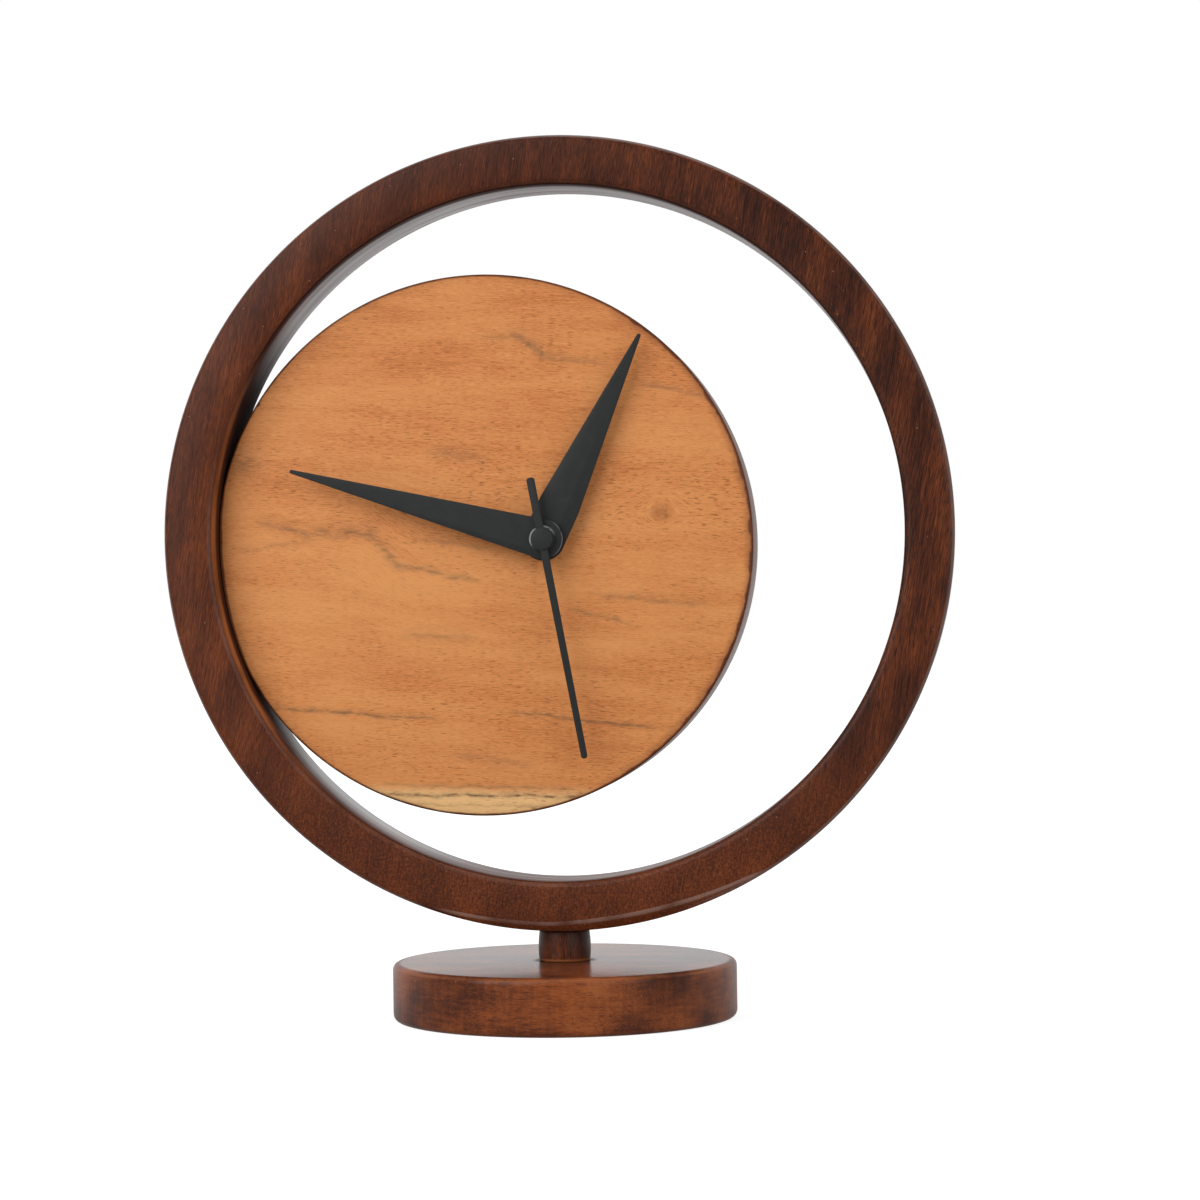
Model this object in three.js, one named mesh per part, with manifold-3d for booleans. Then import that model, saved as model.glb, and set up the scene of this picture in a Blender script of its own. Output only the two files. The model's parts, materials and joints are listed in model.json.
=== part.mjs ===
// Desk clock in wood. A dark ring stands on a round foot and holds a pale dial disc off to one side.
// A battery quartz movement sits in a pocket behind the dial and turns three hands in front of it.
// Millimetres, with +Z up, +X to the right and +Y to the back for someone who reads the clock.
// The origin is the centre of the foot's underside.

import * as THREE from "three";
import { mergeVertices } from "three/addons/utils/BufferGeometryUtils.js";
import Module from "manifold-3d";

const wasm = await Module();
wasm.setup();

// Foot and neck
const footRadius = 54.5;
const footHeight = 18;
const footTopEdge = 2.2;
const footBottomEdge = 1.6;
const neckLength = 10.2;
const neckTopRadius = 7.8;
const neckBellyRadius = 8.3;
const neckFootRadius = 8.05;
const neckBellyHeight = 3.6;
const tenonRadius = 5;
const tenonInFoot = 8;
const tenonCoverInRing = 6.4;

// Screw that pulls the neck down on the foot
const screwRadius = 2;
const screwHeadRadius = 4;
const screwHeadHeight = 2.4;
const screwHeadSunk = 0.8;
const screwHeadEdge = 0.8;
const screwReachInNeck = 5.5;
const screwPoint = 4;
const screwSlotWidth = 1.1;
const screwSlotDepth = 1.2;
const screwSlotReach = 2.4;

// Ring
const ringRadius = 125;
const ringFaceWidth = 15.6;
const ringDepth = 28;
const ringEdge = 1.6;

// Dial disc and the two pegs that tie it to the ring
const dialRadius = 86;
const dialFaceThickness = 7;
const dialEdge = 1.2;
const dialSetback = 11;
const dialSeatTrim = 0.95;
const dialLeanDegrees = 187.6;
const glueGap = 0.3;
const pegRadius = 3;
const pegSpread = 15;
const pegCoverInRing = 7.6;
const pegInDial = 8;

// Hand spindle, measured from the middle of the dial disc
const pivotRight = 20.1;
const pivotUp = 1.4;

// Hands, with angles clockwise from twelve
const handThickness = 0.6;
const handGap = 1.5;
const collarLength = 0.7;
const collarWall = 1.1;
const hourHand = { angle: 26, length: 71.3, hub: 6.8, shoulder: 12, shoulderHalf: 6.6, tipHalf: 0.6 };
const minuteHand = { angle: 285.8, length: 83.8, hub: 6.3, shoulder: 3, shoulderHalf: 6.1, tipHalf: 0.6 };
const secondHand = { angle: 169.65, length: 70.2, tail: 19.6, hub: 3.75, half: 1.15 };
const minuteBossRadius = 4;
const minuteBossHeight = 0.8;
const secondHubHeight = 1.5;

// Fixing of the movement through the dial
const bushingRadius = 4;
const bushingFlangeRadius = 5.6;
const bushingFlange = 0.5;
const bushingPastNut = 0.5;
const gasketRadius = 9;
const gasketThickness = 1;
const washerRadius = 6;
const washerThickness = 0.6;
const nutAcrossFlats = 10;
const nutThickness = 2.5;

// Movement case
const caseWall = 1.2;
const caseCorner = 3;
const coverThickness = 1.2;
const dividerThickness = 1;
const pocketClearance = 0.8;

// Round cell and its contacts
const cellLength = 50.5;
const cellRadius = 7.25;
const cellNubRadius = 2.75;
const cellNubLength = 1;
const cellRimEdge = 0.6;
const contactThickness = 0.4;
const contactSpring = 1.7;
const contactSpringRadius = 3.2;
const contactSpringTip = 1.9;
const contactTailWidth = 3;

// Wheel train, with the arbors of the third and middle wheels set round the hand spindle
const arborSpacing = 9.4;
const middleSpacingExtra = 0.2;
const motionSpacingExtra = 0.6;
const rotorSpacing = 8;
const thirdDirection = 180;
const middleDirection = 90;
const motionDirection = 25;
const rotorDirection = 150;
const wheelThickness = 0.7;
const layerGap = 0.55;
const arborRadius = 0.5;
const settingArborRadius = 1;
const pipeWall = 0.9;
const pivotDepthInWall = 0.6;
const bridgeThickness = 1;
const postRadius = 1.6;
const trainToDivider = 2;
const addendum = 0.7;
const dedendum = 1.1;
const tipShare = 0.12;
const rootShare = 0.25;
const pinionLeaves = 6;
const trainTeeth = { centre: 48, third: 45, second: 36, middle: 30 };
const motionTeeth = { cannon: 10, motion: 30, pinion: 8, hour: 32 };

// Setting knob
const knobRadius = 6;
const knobThickness = 4;
const knobFlutes = 18;
const knobFluteDepth = 0.35;
const knobFace = 1.2;

// Stepping motor
const magnetRadius = 2.6;
const magnetLength = 2.8;
const magnetAirGap = 0.5;
const statorWall = 1.5;
const statorThickness = 0.8;
const statorHalfSpan = 13;
const statorBar = 4;
const coreHalfWidth = 1.5;
const coilRadius = 3.5;
const bobbinWall = 0.4;
const bobbinFlange = 0.8;
const windingThickness = 1;
const coilEndRoom = 3.4;

// Circuit board
const boardThickness = 0.8;
const boardHeight = 8.2;
const chipRadius = 2.5;
const chipTopRadius = 1.6;
const chipHeight = 1.2;
const crystalRadius = 1;
const crystalLength = 6;
const crystalFromMiddle = 9;
const smallScrewRadius = 0.6;
const smallScrewHead = 1.5;
const smallScrewHeadHeight = 0.9;
const smallScrewBite = 3.5;

// Clearances
const runningGap = 0.08;
const slipGap = 0.15;
const looseGap = 0.4;

// Facets on round work
const largeRound = 64;
const mediumRound = 24;
const smallRound = 14;
const cornerSteps = 2;
const barrelSteps = 4;

const degrees = Math.PI / 180;
const polar = (radius, angle) => [radius * Math.cos(angle), radius * Math.sin(angle)];

// A closed mesh as a solid that can be joined and cut.
function solidOf(geometry) {
  const bare = geometry.clone();
  bare.deleteAttribute("normal");
  bare.deleteAttribute("uv");
  const merged = mergeVertices(bare);
  const corners = merged.index.array;
  const triangles = [];
  for (let i = 0; i < corners.length; i += 3) {
    const [a, b, c] = corners.slice(i, i + 3);
    if (a !== b && b !== c && c !== a) triangles.push(a, b, c);
  }
  const vertProperties = Float32Array.from(merged.attributes.position.array);
  const triVerts = Uint32Array.from(triangles);
  return new wasm.Manifold(new wasm.Mesh({ numProp: 3, vertProperties, triVerts }));
}

function geometryOf(solid) {
  const mesh = solid.getMesh();
  const geometry = new THREE.BufferGeometry();
  geometry.setAttribute("position", new THREE.BufferAttribute(Float32Array.from(mesh.vertProperties), 3));
  geometry.setIndex(Array.from(mesh.triVerts));
  geometry.computeVertexNormals();
  return geometry;
}

const cut = (body, ...tools) =>
  geometryOf(tools.reduce((left, tool) => left.subtract(solidOf(tool)), solidOf(body)));

const join = (first, ...others) =>
  geometryOf(others.reduce((whole, other) => whole.add(solidOf(other)), solidOf(first)));

const common = (first, second) => geometryOf(solidOf(first).intersect(solidOf(second)));

// Points along an arc, both ends included.
function arc(centreX, centreY, radius, from, to, steps = cornerSteps) {
  const points = [];
  for (let i = 0; i <= steps; i += 1) {
    const [x, y] = polar(radius, from + ((to - from) * i) / steps);
    points.push([centreX + x, centreY + y]);
  }
  return points;
}

// Turned work about the Y axis, from points of radius and depth with the outside running to the back.
function turned(profile, segments) {
  return new THREE.LatheGeometry(profile.map(([radius, y]) => new THREE.Vector2(radius, y)), segments);
}

const rod = (radius, front, back, segments = smallRound) =>
  turned([[0, front], [radius, front], [radius, back], [0, back]], segments);

const tube = (inner, outer, front, back, segments = smallRound) =>
  turned([[inner, front], [outer, front], [outer, back], [inner, back], [inner, front]], segments);

// Turned work about Y stood up on the Z axis, or laid along the X axis.
const standing = (geometry) => geometry.rotateX(Math.PI / 2);
const lying = (geometry) => geometry.rotateZ(-Math.PI / 2);

// A flat outline in X and Z made into a plate between two depths.
function plate(shape, front, back) {
  const settings = { depth: back - front, bevelEnabled: false, curveSegments: mediumRound };
  return new THREE.ExtrudeGeometry(shape, settings).rotateX(Math.PI / 2).translate(0, back, 0);
}

const outline = (points) => new THREE.Shape(points.map(([x, y]) => new THREE.Vector2(x, y)));

// A block between two corners.
function block(low, high) {
  const size = high.map((value, i) => value - low[i]);
  const middle = high.map((value, i) => (value + low[i]) / 2);
  return new THREE.BoxGeometry(...size).translate(...middle);
}

function roundedRectangle(left, bottom, right, top, radius) {
  return outline([
    ...arc(right - radius, bottom + radius, radius, -Math.PI / 2, 0),
    ...arc(right - radius, top - radius, radius, 0, Math.PI / 2),
    ...arc(left + radius, top - radius, radius, Math.PI / 2, Math.PI),
    ...arc(left + radius, bottom + radius, radius, Math.PI, 1.5 * Math.PI),
  ]);
}

const model = new THREE.Group();

function add(parent, name, geometry, color, roughness, metalness = 0) {
  const mesh = new THREE.Mesh(geometry, new THREE.MeshStandardMaterial({ color, roughness, metalness }));
  mesh.name = name;
  parent.add(mesh);
}

const darkWood = 0x5a2c1a;
const paleWood = 0xc88850;
const pegWood = 0xc9a06a;
const handBlack = 0x2c2f30;
const brass = 0xb8923c;
const steel = 0xa9adb0;
const caseBlack = 0x222324;
const wheelWhite = 0xe3e1d8;
const wheelYellow = 0xd8c25a;
const bridgeGrey = 0xd9d7cf;
const rubberBlack = 0x1b1b1b;
const magnetGrey = 0x4a4a4c;
const bobbinCream = 0xcfcabc;
const copper = 0xa4602c;
const boardGreen = 0x2f6b3c;
const chipBlack = 0x141414;
const cellGrey = 0x3c4a55;

// Foot: a turned disc with a hole for the neck from above and a sunk screw hole from below.
const ringBottom = footHeight + neckLength;
const ringCentre = ringBottom + ringRadius;
const tenonInRing = ringFaceWidth - tenonCoverInRing;
const screwSeat = screwHeadSunk + screwHeadHeight;
const screwHole = screwRadius + slipGap;
const tenonHole = tenonRadius + slipGap;
const headHole = screwHeadRadius + looseGap;
const tenonFloor = footHeight - tenonInFoot - looseGap;

const footProfile = [
  [headHole, 0],
  ...arc(footRadius - footBottomEdge, footBottomEdge, footBottomEdge, -Math.PI / 2, 0),
  ...arc(footRadius - footTopEdge, footHeight - footTopEdge, footTopEdge, 0, Math.PI / 2),
  [tenonHole, footHeight],
  [tenonHole, tenonFloor],
  [screwHole, tenonFloor],
  [screwHole, screwSeat],
  [headHole, screwSeat],
  [headHole, 0],
];
add(model, "foot_disc", standing(turned(footProfile, largeRound)), darkWood, 0.3);

// Neck: a short barrel with a tenon at each end and a pilot hole for the screw.
const pilotTop = footHeight + screwReachInNeck + looseGap;
const barrel = new THREE.SplineCurve([
  new THREE.Vector2(neckFootRadius, footHeight),
  new THREE.Vector2(neckBellyRadius, footHeight + neckBellyHeight),
  new THREE.Vector2(neckTopRadius, ringBottom),
]);
const neckProfile = [
  [0, pilotTop],
  [screwHole, pilotTop],
  [screwHole, footHeight - tenonInFoot],
  [tenonRadius, footHeight - tenonInFoot],
  [tenonRadius, footHeight],
  ...barrel.getPoints(barrelSteps).map(({ x, y }) => [x, y]),
  [tenonRadius, ringBottom],
  [tenonRadius, ringBottom + tenonInRing],
  [0, ringBottom + tenonInRing],
];
add(model, "neck_dowel", standing(turned(neckProfile, mediumRound)), darkWood, 0.35);

// Foot screw, with a cross slot in its head.
const screwTip = footHeight + screwReachInNeck;
const screwProfile = [
  [0, screwHeadSunk],
  [screwHeadRadius - screwHeadEdge, screwHeadSunk],
  [screwHeadRadius, screwHeadSunk + screwHeadEdge],
  [screwHeadRadius, screwSeat],
  [screwRadius, screwSeat],
  [screwRadius, screwTip - screwPoint],
  [0, screwTip],
];
const slotTop = screwHeadSunk + screwSlotDepth;
const slotHalf = screwSlotWidth / 2;
const crossSlot = [
  block([-screwSlotReach, -slotHalf, 0], [screwSlotReach, slotHalf, slotTop]),
  block([-slotHalf, -screwSlotReach, 0], [slotHalf, screwSlotReach, slotTop]),
];
add(model, "foot_screw", cut(standing(turned(screwProfile, smallRound)), ...crossSlot), steel, 0.35, 0.9);

// Ring: a turned hoop, bored from below for the neck and from inside for the dial pegs.
const ringInner = ringRadius - ringFaceWidth;
const ringFront = -ringDepth / 2;
const ringBack = ringDepth / 2;
const ringProfile = [
  ...arc(ringRadius - ringEdge, ringFront + ringEdge, ringEdge, -Math.PI / 2, 0),
  ...arc(ringRadius - ringEdge, ringBack - ringEdge, ringEdge, 0, Math.PI / 2),
  ...arc(ringInner + ringEdge, ringBack - ringEdge, ringEdge, Math.PI / 2, Math.PI),
  ...arc(ringInner + ringEdge, ringFront + ringEdge, ringEdge, Math.PI, 1.5 * Math.PI),
];
const closedRing = [...ringProfile, ringProfile[0]];
const neckBore = standing(rod(tenonHole, ringBottom - looseGap, ringBottom + tenonInRing + looseGap));

// The dial disc leans on the ring's inner wall, and its edge is trimmed there to the wall's curve.
const lean = dialLeanDegrees * degrees;
const dialOffset = ringInner + dialSeatTrim - dialRadius;
const [dialX, dialRise] = polar(dialOffset, lean);
const dialZ = ringCentre + dialRise;
const dialFront = ringFront + dialSetback;

// Gear sizes follow from the arbor spacings and the tooth counts.
const moduleOf = (spacing, first, second) => (2 * spacing) / (first + second);
const pitchRadius = (count, module) => (count * module) / 2;
const tipRadius = (count, module) => pitchRadius(count, module) + addendum * module;
const middleSpacing = arborSpacing + middleSpacingExtra;
const motionSpacing = arborSpacing + motionSpacingExtra;
const centreModule = moduleOf(arborSpacing, trainTeeth.centre, pinionLeaves);
const thirdModule = moduleOf(arborSpacing, trainTeeth.third, pinionLeaves);
const secondModule = moduleOf(middleSpacing, trainTeeth.second, pinionLeaves);
const rotorModule = moduleOf(rotorSpacing, trainTeeth.middle, pinionLeaves);
const cannonModule = moduleOf(motionSpacing, motionTeeth.cannon, motionTeeth.motion);
const hourModule = moduleOf(motionSpacing, motionTeeth.pinion, motionTeeth.hour);
const thirdTip = tipRadius(trainTeeth.third, thirdModule);
const motionTip = tipRadius(motionTeeth.motion, cannonModule);
const widestWheel = Math.max(
  thirdTip,
  tipRadius(trainTeeth.centre, centreModule),
  tipRadius(trainTeeth.second, secondModule),
  tipRadius(motionTeeth.hour, hourModule),
);

// Arbor places from the hand spindle, to the right and up.
const spindle = [0, 0];
const thirdArbor = polar(arborSpacing, thirdDirection * degrees);
const middleArbor = polar(middleSpacing, middleDirection * degrees);
const motionArbor = polar(motionSpacing, motionDirection * degrees);
const rotorReach = polar(rotorSpacing, rotorDirection * degrees);
const rotorArbor = [middleArbor[0] + rotorReach[0], middleArbor[1] + rotorReach[1]];

// Posts beside the train: two low ones carry bridge and board, a high one carries the bridge alone.
const postReach = postRadius + looseGap;
const leftPost = thirdArbor[0] - thirdTip - postReach;
const rightPost = motionArbor[0] + motionTip + postReach;
const trainHalf = Math.max(-leftPost, rightPost) + postReach + looseGap;

// Depths of the layers, from the front of the case to the back.
const layerStep = wheelThickness + layerGap;
const hourLayer = caseWall + bushingFlange + layerGap / 2;
const motionLayer = hourLayer + layerStep;
const centreLayer = motionLayer + layerStep;
const thirdLayer = centreLayer + layerStep;
const secondLayer = thirdLayer + layerStep;
const middleLayer = secondLayer + layerStep;
const bridgeFront = middleLayer + layerStep;
const bridgeBack = bridgeFront + bridgeThickness;
const boardBack = bridgeBack + boardThickness;

// Case outline round the cell below and the wheel train above.
const statorBarTop = rotorArbor[1] + statorWall / 2 + statorBar;
const coilHeight = statorBarTop + looseGap + coilRadius;
const chamberTop = coilHeight + coilRadius + 2 * looseGap;
const dividerTop = -widestWheel - trainToDivider;
const dividerBottom = dividerTop - dividerThickness;
const cellHeight = dividerBottom - looseGap - cellRadius;
const bayBottom = cellHeight - cellRadius - slipGap;
const caseBottom = bayBottom - caseWall;
const caseTop = chamberTop + caseWall;
const cellHalfReach = (cellLength + contactSpring) / 2;
const contactFace = cellHalfReach + slipGap;
const bayHalf = Math.max(contactFace + contactThickness + slipGap, trainHalf);
const caseHalf = bayHalf + caseWall;
const cellDepth = caseWall + slipGap + cellRadius;
const caseDepth = cellDepth + cellRadius + slipGap;
const coverFront = caseDepth - coverThickness;

// Places in the clock that the movement sets.
const pocketDepth = gasketThickness + caseDepth;
const dialBack = dialFront + dialFaceThickness + pocketDepth;
const spindleX = dialX + pivotRight;
const spindleZ = dialZ + pivotUp;
const caseFrontY = dialFront + dialFaceThickness + gasketThickness;

// Pegs lie side by side across the joint between ring and dial.
const pegDepthY = (dialFront + Math.min(dialBack, ringBack)) / 2;
const pegWallReach = Math.sqrt(ringInner ** 2 - pegSpread ** 2);
const pegInRing = ringFaceWidth - pegCoverInRing;

// A round bar along the lean direction, between two distances from the ring's centre.
function pegBar(radius, from, to, side) {
  const bar = lying(rod(radius, from, to)).translate(0, pegDepthY, side * pegSpread);
  return bar.rotateY(-lean).translate(0, 0, ringCentre);
}
const pegHole = pegRadius + slipGap;
const pegHoles = [-1, 1].map((side) =>
  pegBar(pegHole, pegWallReach - pegInDial - looseGap, pegWallReach + pegInRing + looseGap, side));

const ringBlank = turned(closedRing, largeRound).translate(0, 0, ringCentre);
add(model, "ring_frame", cut(ringBlank, neckBore, ...pegHoles), darkWood, 0.3);
[["dial_peg_upper", -1], ["dial_peg_lower", 1]].forEach(([name, side]) => {
  const peg = pegBar(pegRadius, pegWallReach - pegInDial, pegWallReach + pegInRing, side);
  add(model, name, peg, pegWood, 0.6);
});

// Dial disc: turned, trimmed to the ring's wall, bored for the bushing and pocketed for the movement.
const dialProfile = [
  [0, dialFront],
  ...arc(dialRadius - dialEdge, dialFront + dialEdge, dialEdge, -Math.PI / 2, 0),
  ...arc(dialRadius - dialEdge, dialBack - dialEdge, dialEdge, 0, Math.PI / 2),
  [0, dialBack],
];
const dialBlank = turned(dialProfile, largeRound).translate(dialX, 0, dialZ);
const seatRound = rod(ringInner - glueGap, dialFront - looseGap, dialBack + looseGap, largeRound);
const trimmedDial = common(dialBlank, seatRound.translate(0, 0, ringCentre));
const pocketOutline = roundedRectangle(
  spindleX - caseHalf - pocketClearance,
  spindleZ + caseBottom - pocketClearance,
  spindleX + caseHalf + pocketClearance,
  spindleZ + caseTop + pocketClearance,
  caseCorner + pocketClearance,
);
const pocket = plate(pocketOutline, dialBack - pocketDepth, dialBack + looseGap);
const bushingBore = rod(bushingRadius + looseGap, dialFront - looseGap, dialBack, mediumRound);
const dialCuts = [pocket, bushingBore.translate(spindleX, 0, spindleZ), ...pegHoles];
add(model, "dial_disc", cut(trimmedDial, ...dialCuts), paleWood, 0.45);

// Movement, in a group of its own: x and z run from the hand spindle, y from the front of the case.
const movement = new THREE.Group();
movement.position.set(spindleX, caseFrontY, spindleZ);
model.add(movement);
const dialFaceY = -gasketThickness - dialFaceThickness;

const nutFront = dialFaceY - washerThickness - nutThickness;
const bushingEnd = nutFront - bushingPastNut;
const secondArborRadius = arborRadius;
const minuteBore = secondArborRadius + runningGap;
const minutePipe = minuteBore + pipeWall;
const hourBore = minutePipe + runningGap;
const hourPipe = hourBore + pipeWall;
const bushingBoreRadius = hourPipe + runningGap;

// Gasket, washer, nut and bushing that clamp the movement to the dial.
const threadHole = bushingRadius + slipGap;
const gasket = tube(threadHole, gasketRadius, -gasketThickness, 0, mediumRound);
add(movement, "rubber_gasket", gasket, rubberBlack, 0.9);
const washerFront = dialFaceY - washerThickness;
const washer = tube(threadHole, washerRadius, washerFront, dialFaceY, mediumRound);
add(movement, "dial_washer", washer, brass, 0.35, 0.9);

const hexagon = outline([0, 1, 2, 3, 4, 5].map((i) =>
  polar(nutAcrossFlats / 2 / Math.cos(Math.PI / 6), (i * Math.PI) / 3)));
const nutBore = rod(threadHole, nutFront - looseGap, washerFront + looseGap);
add(movement, "fixing_nut", cut(plate(hexagon, nutFront, washerFront), nutBore), brass, 0.35, 0.9);

const bushingProfile = [
  [bushingBoreRadius, bushingEnd],
  [bushingRadius, bushingEnd],
  [bushingRadius, caseWall],
  [bushingFlangeRadius, caseWall],
  [bushingFlangeRadius, caseWall + bushingFlange],
  [bushingBoreRadius, caseWall + bushingFlange],
  [bushingBoreRadius, bushingEnd],
];
add(movement, "threaded_bushing", turned(bushingProfile, mediumRound), brass, 0.35, 0.9);

// Posts in the case: three carry the bridge, two carry the motor's stator.
const lowPost = dividerTop + postRadius + looseGap;
const highPost = rotorArbor[1];
const boardPosts = [[leftPost, lowPost], [rightPost, lowPost]];
const bridgePosts = [...boardPosts, [rightPost, highPost]];
const statorLeg = statorHalfSpan - coreHalfWidth;
const statorPosts = [-1, 1].map((side) => [rotorArbor[0] + side * statorLeg, coilHeight]);
const statorFront = thirdLayer;
const statorBack = statorFront + statorThickness;
const arbors = [thirdArbor, middleArbor, rotorArbor];
const rodAt = ([x, z], radius, front, back, segments) =>
  rod(radius, front, back, segments).translate(x, 0, z);
const screwHoleRadius = smallScrewRadius + runningGap;

// Case: a box open at the back, with a wall between the cell bay and the wheel chamber.
const caseOutline = roundedRectangle(-caseHalf, caseBottom, caseHalf, caseTop, caseCorner);
const bay = block([-bayHalf, caseWall, bayBottom], [bayHalf, caseDepth + looseGap, dividerBottom]);
const chamber = block([-bayHalf, caseWall, dividerTop], [bayHalf, caseDepth + looseGap, chamberTop]);
const coverRebate = block(
  [-caseHalf - looseGap, coverFront, dividerBottom],
  [caseHalf + looseGap, caseDepth + looseGap, caseTop + looseGap],
);
const tailTop = bridgeBack + boardThickness + contactTailWidth / 2;
const tailFront = tailTop - contactTailWidth;
const tailNotches = [-1, 1].map((side) => {
  const near = side * (contactFace - slipGap);
  const far = side * (contactFace + contactThickness + slipGap);
  const low = [Math.min(near, far), tailFront - slipGap, dividerBottom - looseGap];
  return block(low, [Math.max(near, far), caseDepth, dividerTop + looseGap]);
});
const arborHoles = arbors.map((place) =>
  rodAt(place, arborRadius + runningGap, caseWall - pivotDepthInWall - runningGap, caseWall + looseGap));
const settingHole = rodAt(
  motionArbor,
  settingArborRadius + runningGap,
  caseWall - pivotDepthInWall - runningGap,
  caseWall + looseGap,
);
const caseBore = rod(bushingRadius + runningGap, -looseGap, caseWall + looseGap, mediumRound);
const openCase = cut(
  plate(caseOutline, 0, caseDepth),
  bay,
  chamber,
  coverRebate,
  ...tailNotches,
  ...arborHoles,
  settingHole,
  caseBore,
);
const wallOverlap = caseWall / 2;
const postRods = [
  ...bridgePosts.map((place) => rodAt(place, postRadius, wallOverlap, bridgeFront)),
  ...statorPosts.map((place) => rodAt(place, coreHalfWidth, wallOverlap, statorFront)),
];
const postHoles = bridgePosts.map((place) =>
  rodAt(place, screwHoleRadius, bridgeFront - smallScrewBite - looseGap, bridgeFront + looseGap));
add(movement, "movement_case", cut(join(openCase, ...postRods), ...postHoles), caseBlack, 0.55);

// Back cover over the wheel chamber. The cell bay stays open, so the cell lifts out to the back.
const coverLow = dividerBottom + slipGap;
const coverBlank = plate(caseOutline, coverFront, caseDepth);
const coverArea = block(
  [-caseHalf, coverFront - looseGap, coverLow],
  [caseHalf, caseDepth + looseGap, caseTop],
);
const settingPass = rodAt(
  motionArbor,
  settingArborRadius + slipGap,
  coverFront - looseGap,
  caseDepth + looseGap,
);
add(movement, "back_cover", cut(common(coverBlank, coverArea), settingPass), caseBlack, 0.5);

// Bridge: the plate that carries the rear ends of the arbors.
const bridgeOutline = roundedRectangle(
  leftPost - postReach,
  dividerTop + looseGap,
  rightPost + postReach,
  highPost + postReach,
  postRadius,
);
const bridgePass = [spindle, ...arbors].map((place) =>
  rodAt(place, arborRadius + runningGap, bridgeFront - looseGap, bridgeBack + looseGap));
const bridgeSetting = rodAt(
  motionArbor,
  settingArborRadius + runningGap,
  bridgeFront - looseGap,
  bridgeBack + looseGap,
);
const bridgeScrews = bridgePosts.map((place) =>
  rodAt(place, screwHoleRadius, bridgeFront - looseGap, bridgeBack + looseGap));
const bridgePlate = plate(bridgeOutline, bridgeFront, bridgeBack);
const bridgeHoles = [...bridgePass, bridgeSetting, ...bridgeScrews];
add(movement, "gear_bridge", cut(bridgePlate, ...bridgeHoles), bridgeGrey, 0.5);

// Gear with straight-sided teeth, its first tooth at the given angle.
function gear(count, module, place, phase, front, back) {
  const pitch = (2 * Math.PI) / count;
  const tip = tipRadius(count, module);
  const root = pitchRadius(count, module) - dedendum * module;
  const points = [];
  for (let i = 0; i < count; i += 1) {
    const middle = phase + i * pitch;
    points.push(polar(root, middle - rootShare * pitch));
    points.push(polar(tip, middle - tipShare * pitch));
    points.push(polar(tip, middle + tipShare * pitch));
    points.push(polar(root, middle + rootShare * pitch));
  }
  return plate(outline(points), front, back).translate(place[0], 0, place[1]);
}

// Angle from one arbor to another. A tooth of the first meets a gap of the second there.
const towards = (from, to) => Math.atan2(to[1] - from[1], to[0] - from[0]);
const toothPhase = (from, to) => towards(from, to);
const gapPhase = (from, to, count) => towards(from, to) + Math.PI / count;

const pivotFront = caseWall - pivotDepthInWall;
const pivotBack = bridgeBack - runningGap;
const pinionSide = layerGap / 4;
const layerEnd = (front) => front + wheelThickness;

// A wheel shows a gap to its mate, and a pinion a tooth. A pinion runs on into the wheel behind it.
const wheel = (count, module, place, mate, layer) =>
  gear(count, module, place, gapPhase(place, mate, count), layer, layerEnd(layer));
const pinion = (count, module, place, mate, layer, back) =>
  gear(count, module, place, toothPhase(place, mate), layer - pinionSide, back);

// Front ends of the nested pipes, where the hands sit.
const hourHandBack = bushingEnd - slipGap - collarLength;
const hourHandFront = hourHandBack - handThickness;
const minuteHandBack = hourHandFront - handGap;
const minuteHandFront = minuteHandBack - handThickness;
const minuteBossFront = minuteHandFront - minuteBossHeight;
const secondHubBack = minuteBossFront - looseGap;
const secondHubFront = secondHubBack - secondHubHeight;
const secondArborFront = secondHubBack - secondHubHeight + handThickness;

// Hour wheel with its pipe.
const hourWheel = join(
  wheel(motionTeeth.hour, hourModule, spindle, motionArbor, hourLayer),
  rod(hourPipe, hourHandFront, layerEnd(hourLayer), mediumRound),
);
const hourWheelBore = rod(hourBore, hourHandFront - looseGap, layerEnd(hourLayer) + looseGap, mediumRound);
add(movement, "hour_wheel", cut(hourWheel, hourWheelBore), wheelWhite, 0.5);

// Centre wheel with the cannon pinion and the minute pipe.
const centreEnd = layerEnd(centreLayer);
const centreWheel = join(
  wheel(trainTeeth.centre, centreModule, spindle, thirdArbor, centreLayer),
  pinion(motionTeeth.cannon, cannonModule, spindle, motionArbor, motionLayer, centreEnd),
  rod(minutePipe, minuteBossFront, centreEnd),
);
const centreWheelBore = rod(minuteBore, minuteBossFront - looseGap, centreEnd + looseGap);
add(movement, "centre_wheel", cut(centreWheel, centreWheelBore), wheelYellow, 0.5);

// Seconds wheel with its pinion and the long arbor that carries the second hand.
const secondsWheel = join(
  wheel(trainTeeth.second, secondModule, spindle, middleArbor, secondLayer),
  pinion(pinionLeaves, thirdModule, spindle, thirdArbor, thirdLayer, layerEnd(secondLayer)),
  rod(secondArborRadius, secondArborFront, pivotBack),
);
add(movement, "seconds_wheel", secondsWheel, wheelWhite, 0.5);

// Wheels off the spindle, each on an arbor from the case wall to the bridge.
const offsetArbor = (place) => rodAt(place, arborRadius, pivotFront, pivotBack);

const thirdWheel = join(
  wheel(trainTeeth.third, thirdModule, thirdArbor, spindle, thirdLayer),
  pinion(pinionLeaves, centreModule, thirdArbor, spindle, centreLayer, layerEnd(thirdLayer)),
  offsetArbor(thirdArbor),
);
add(movement, "third_wheel", thirdWheel, wheelWhite, 0.5);

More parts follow.
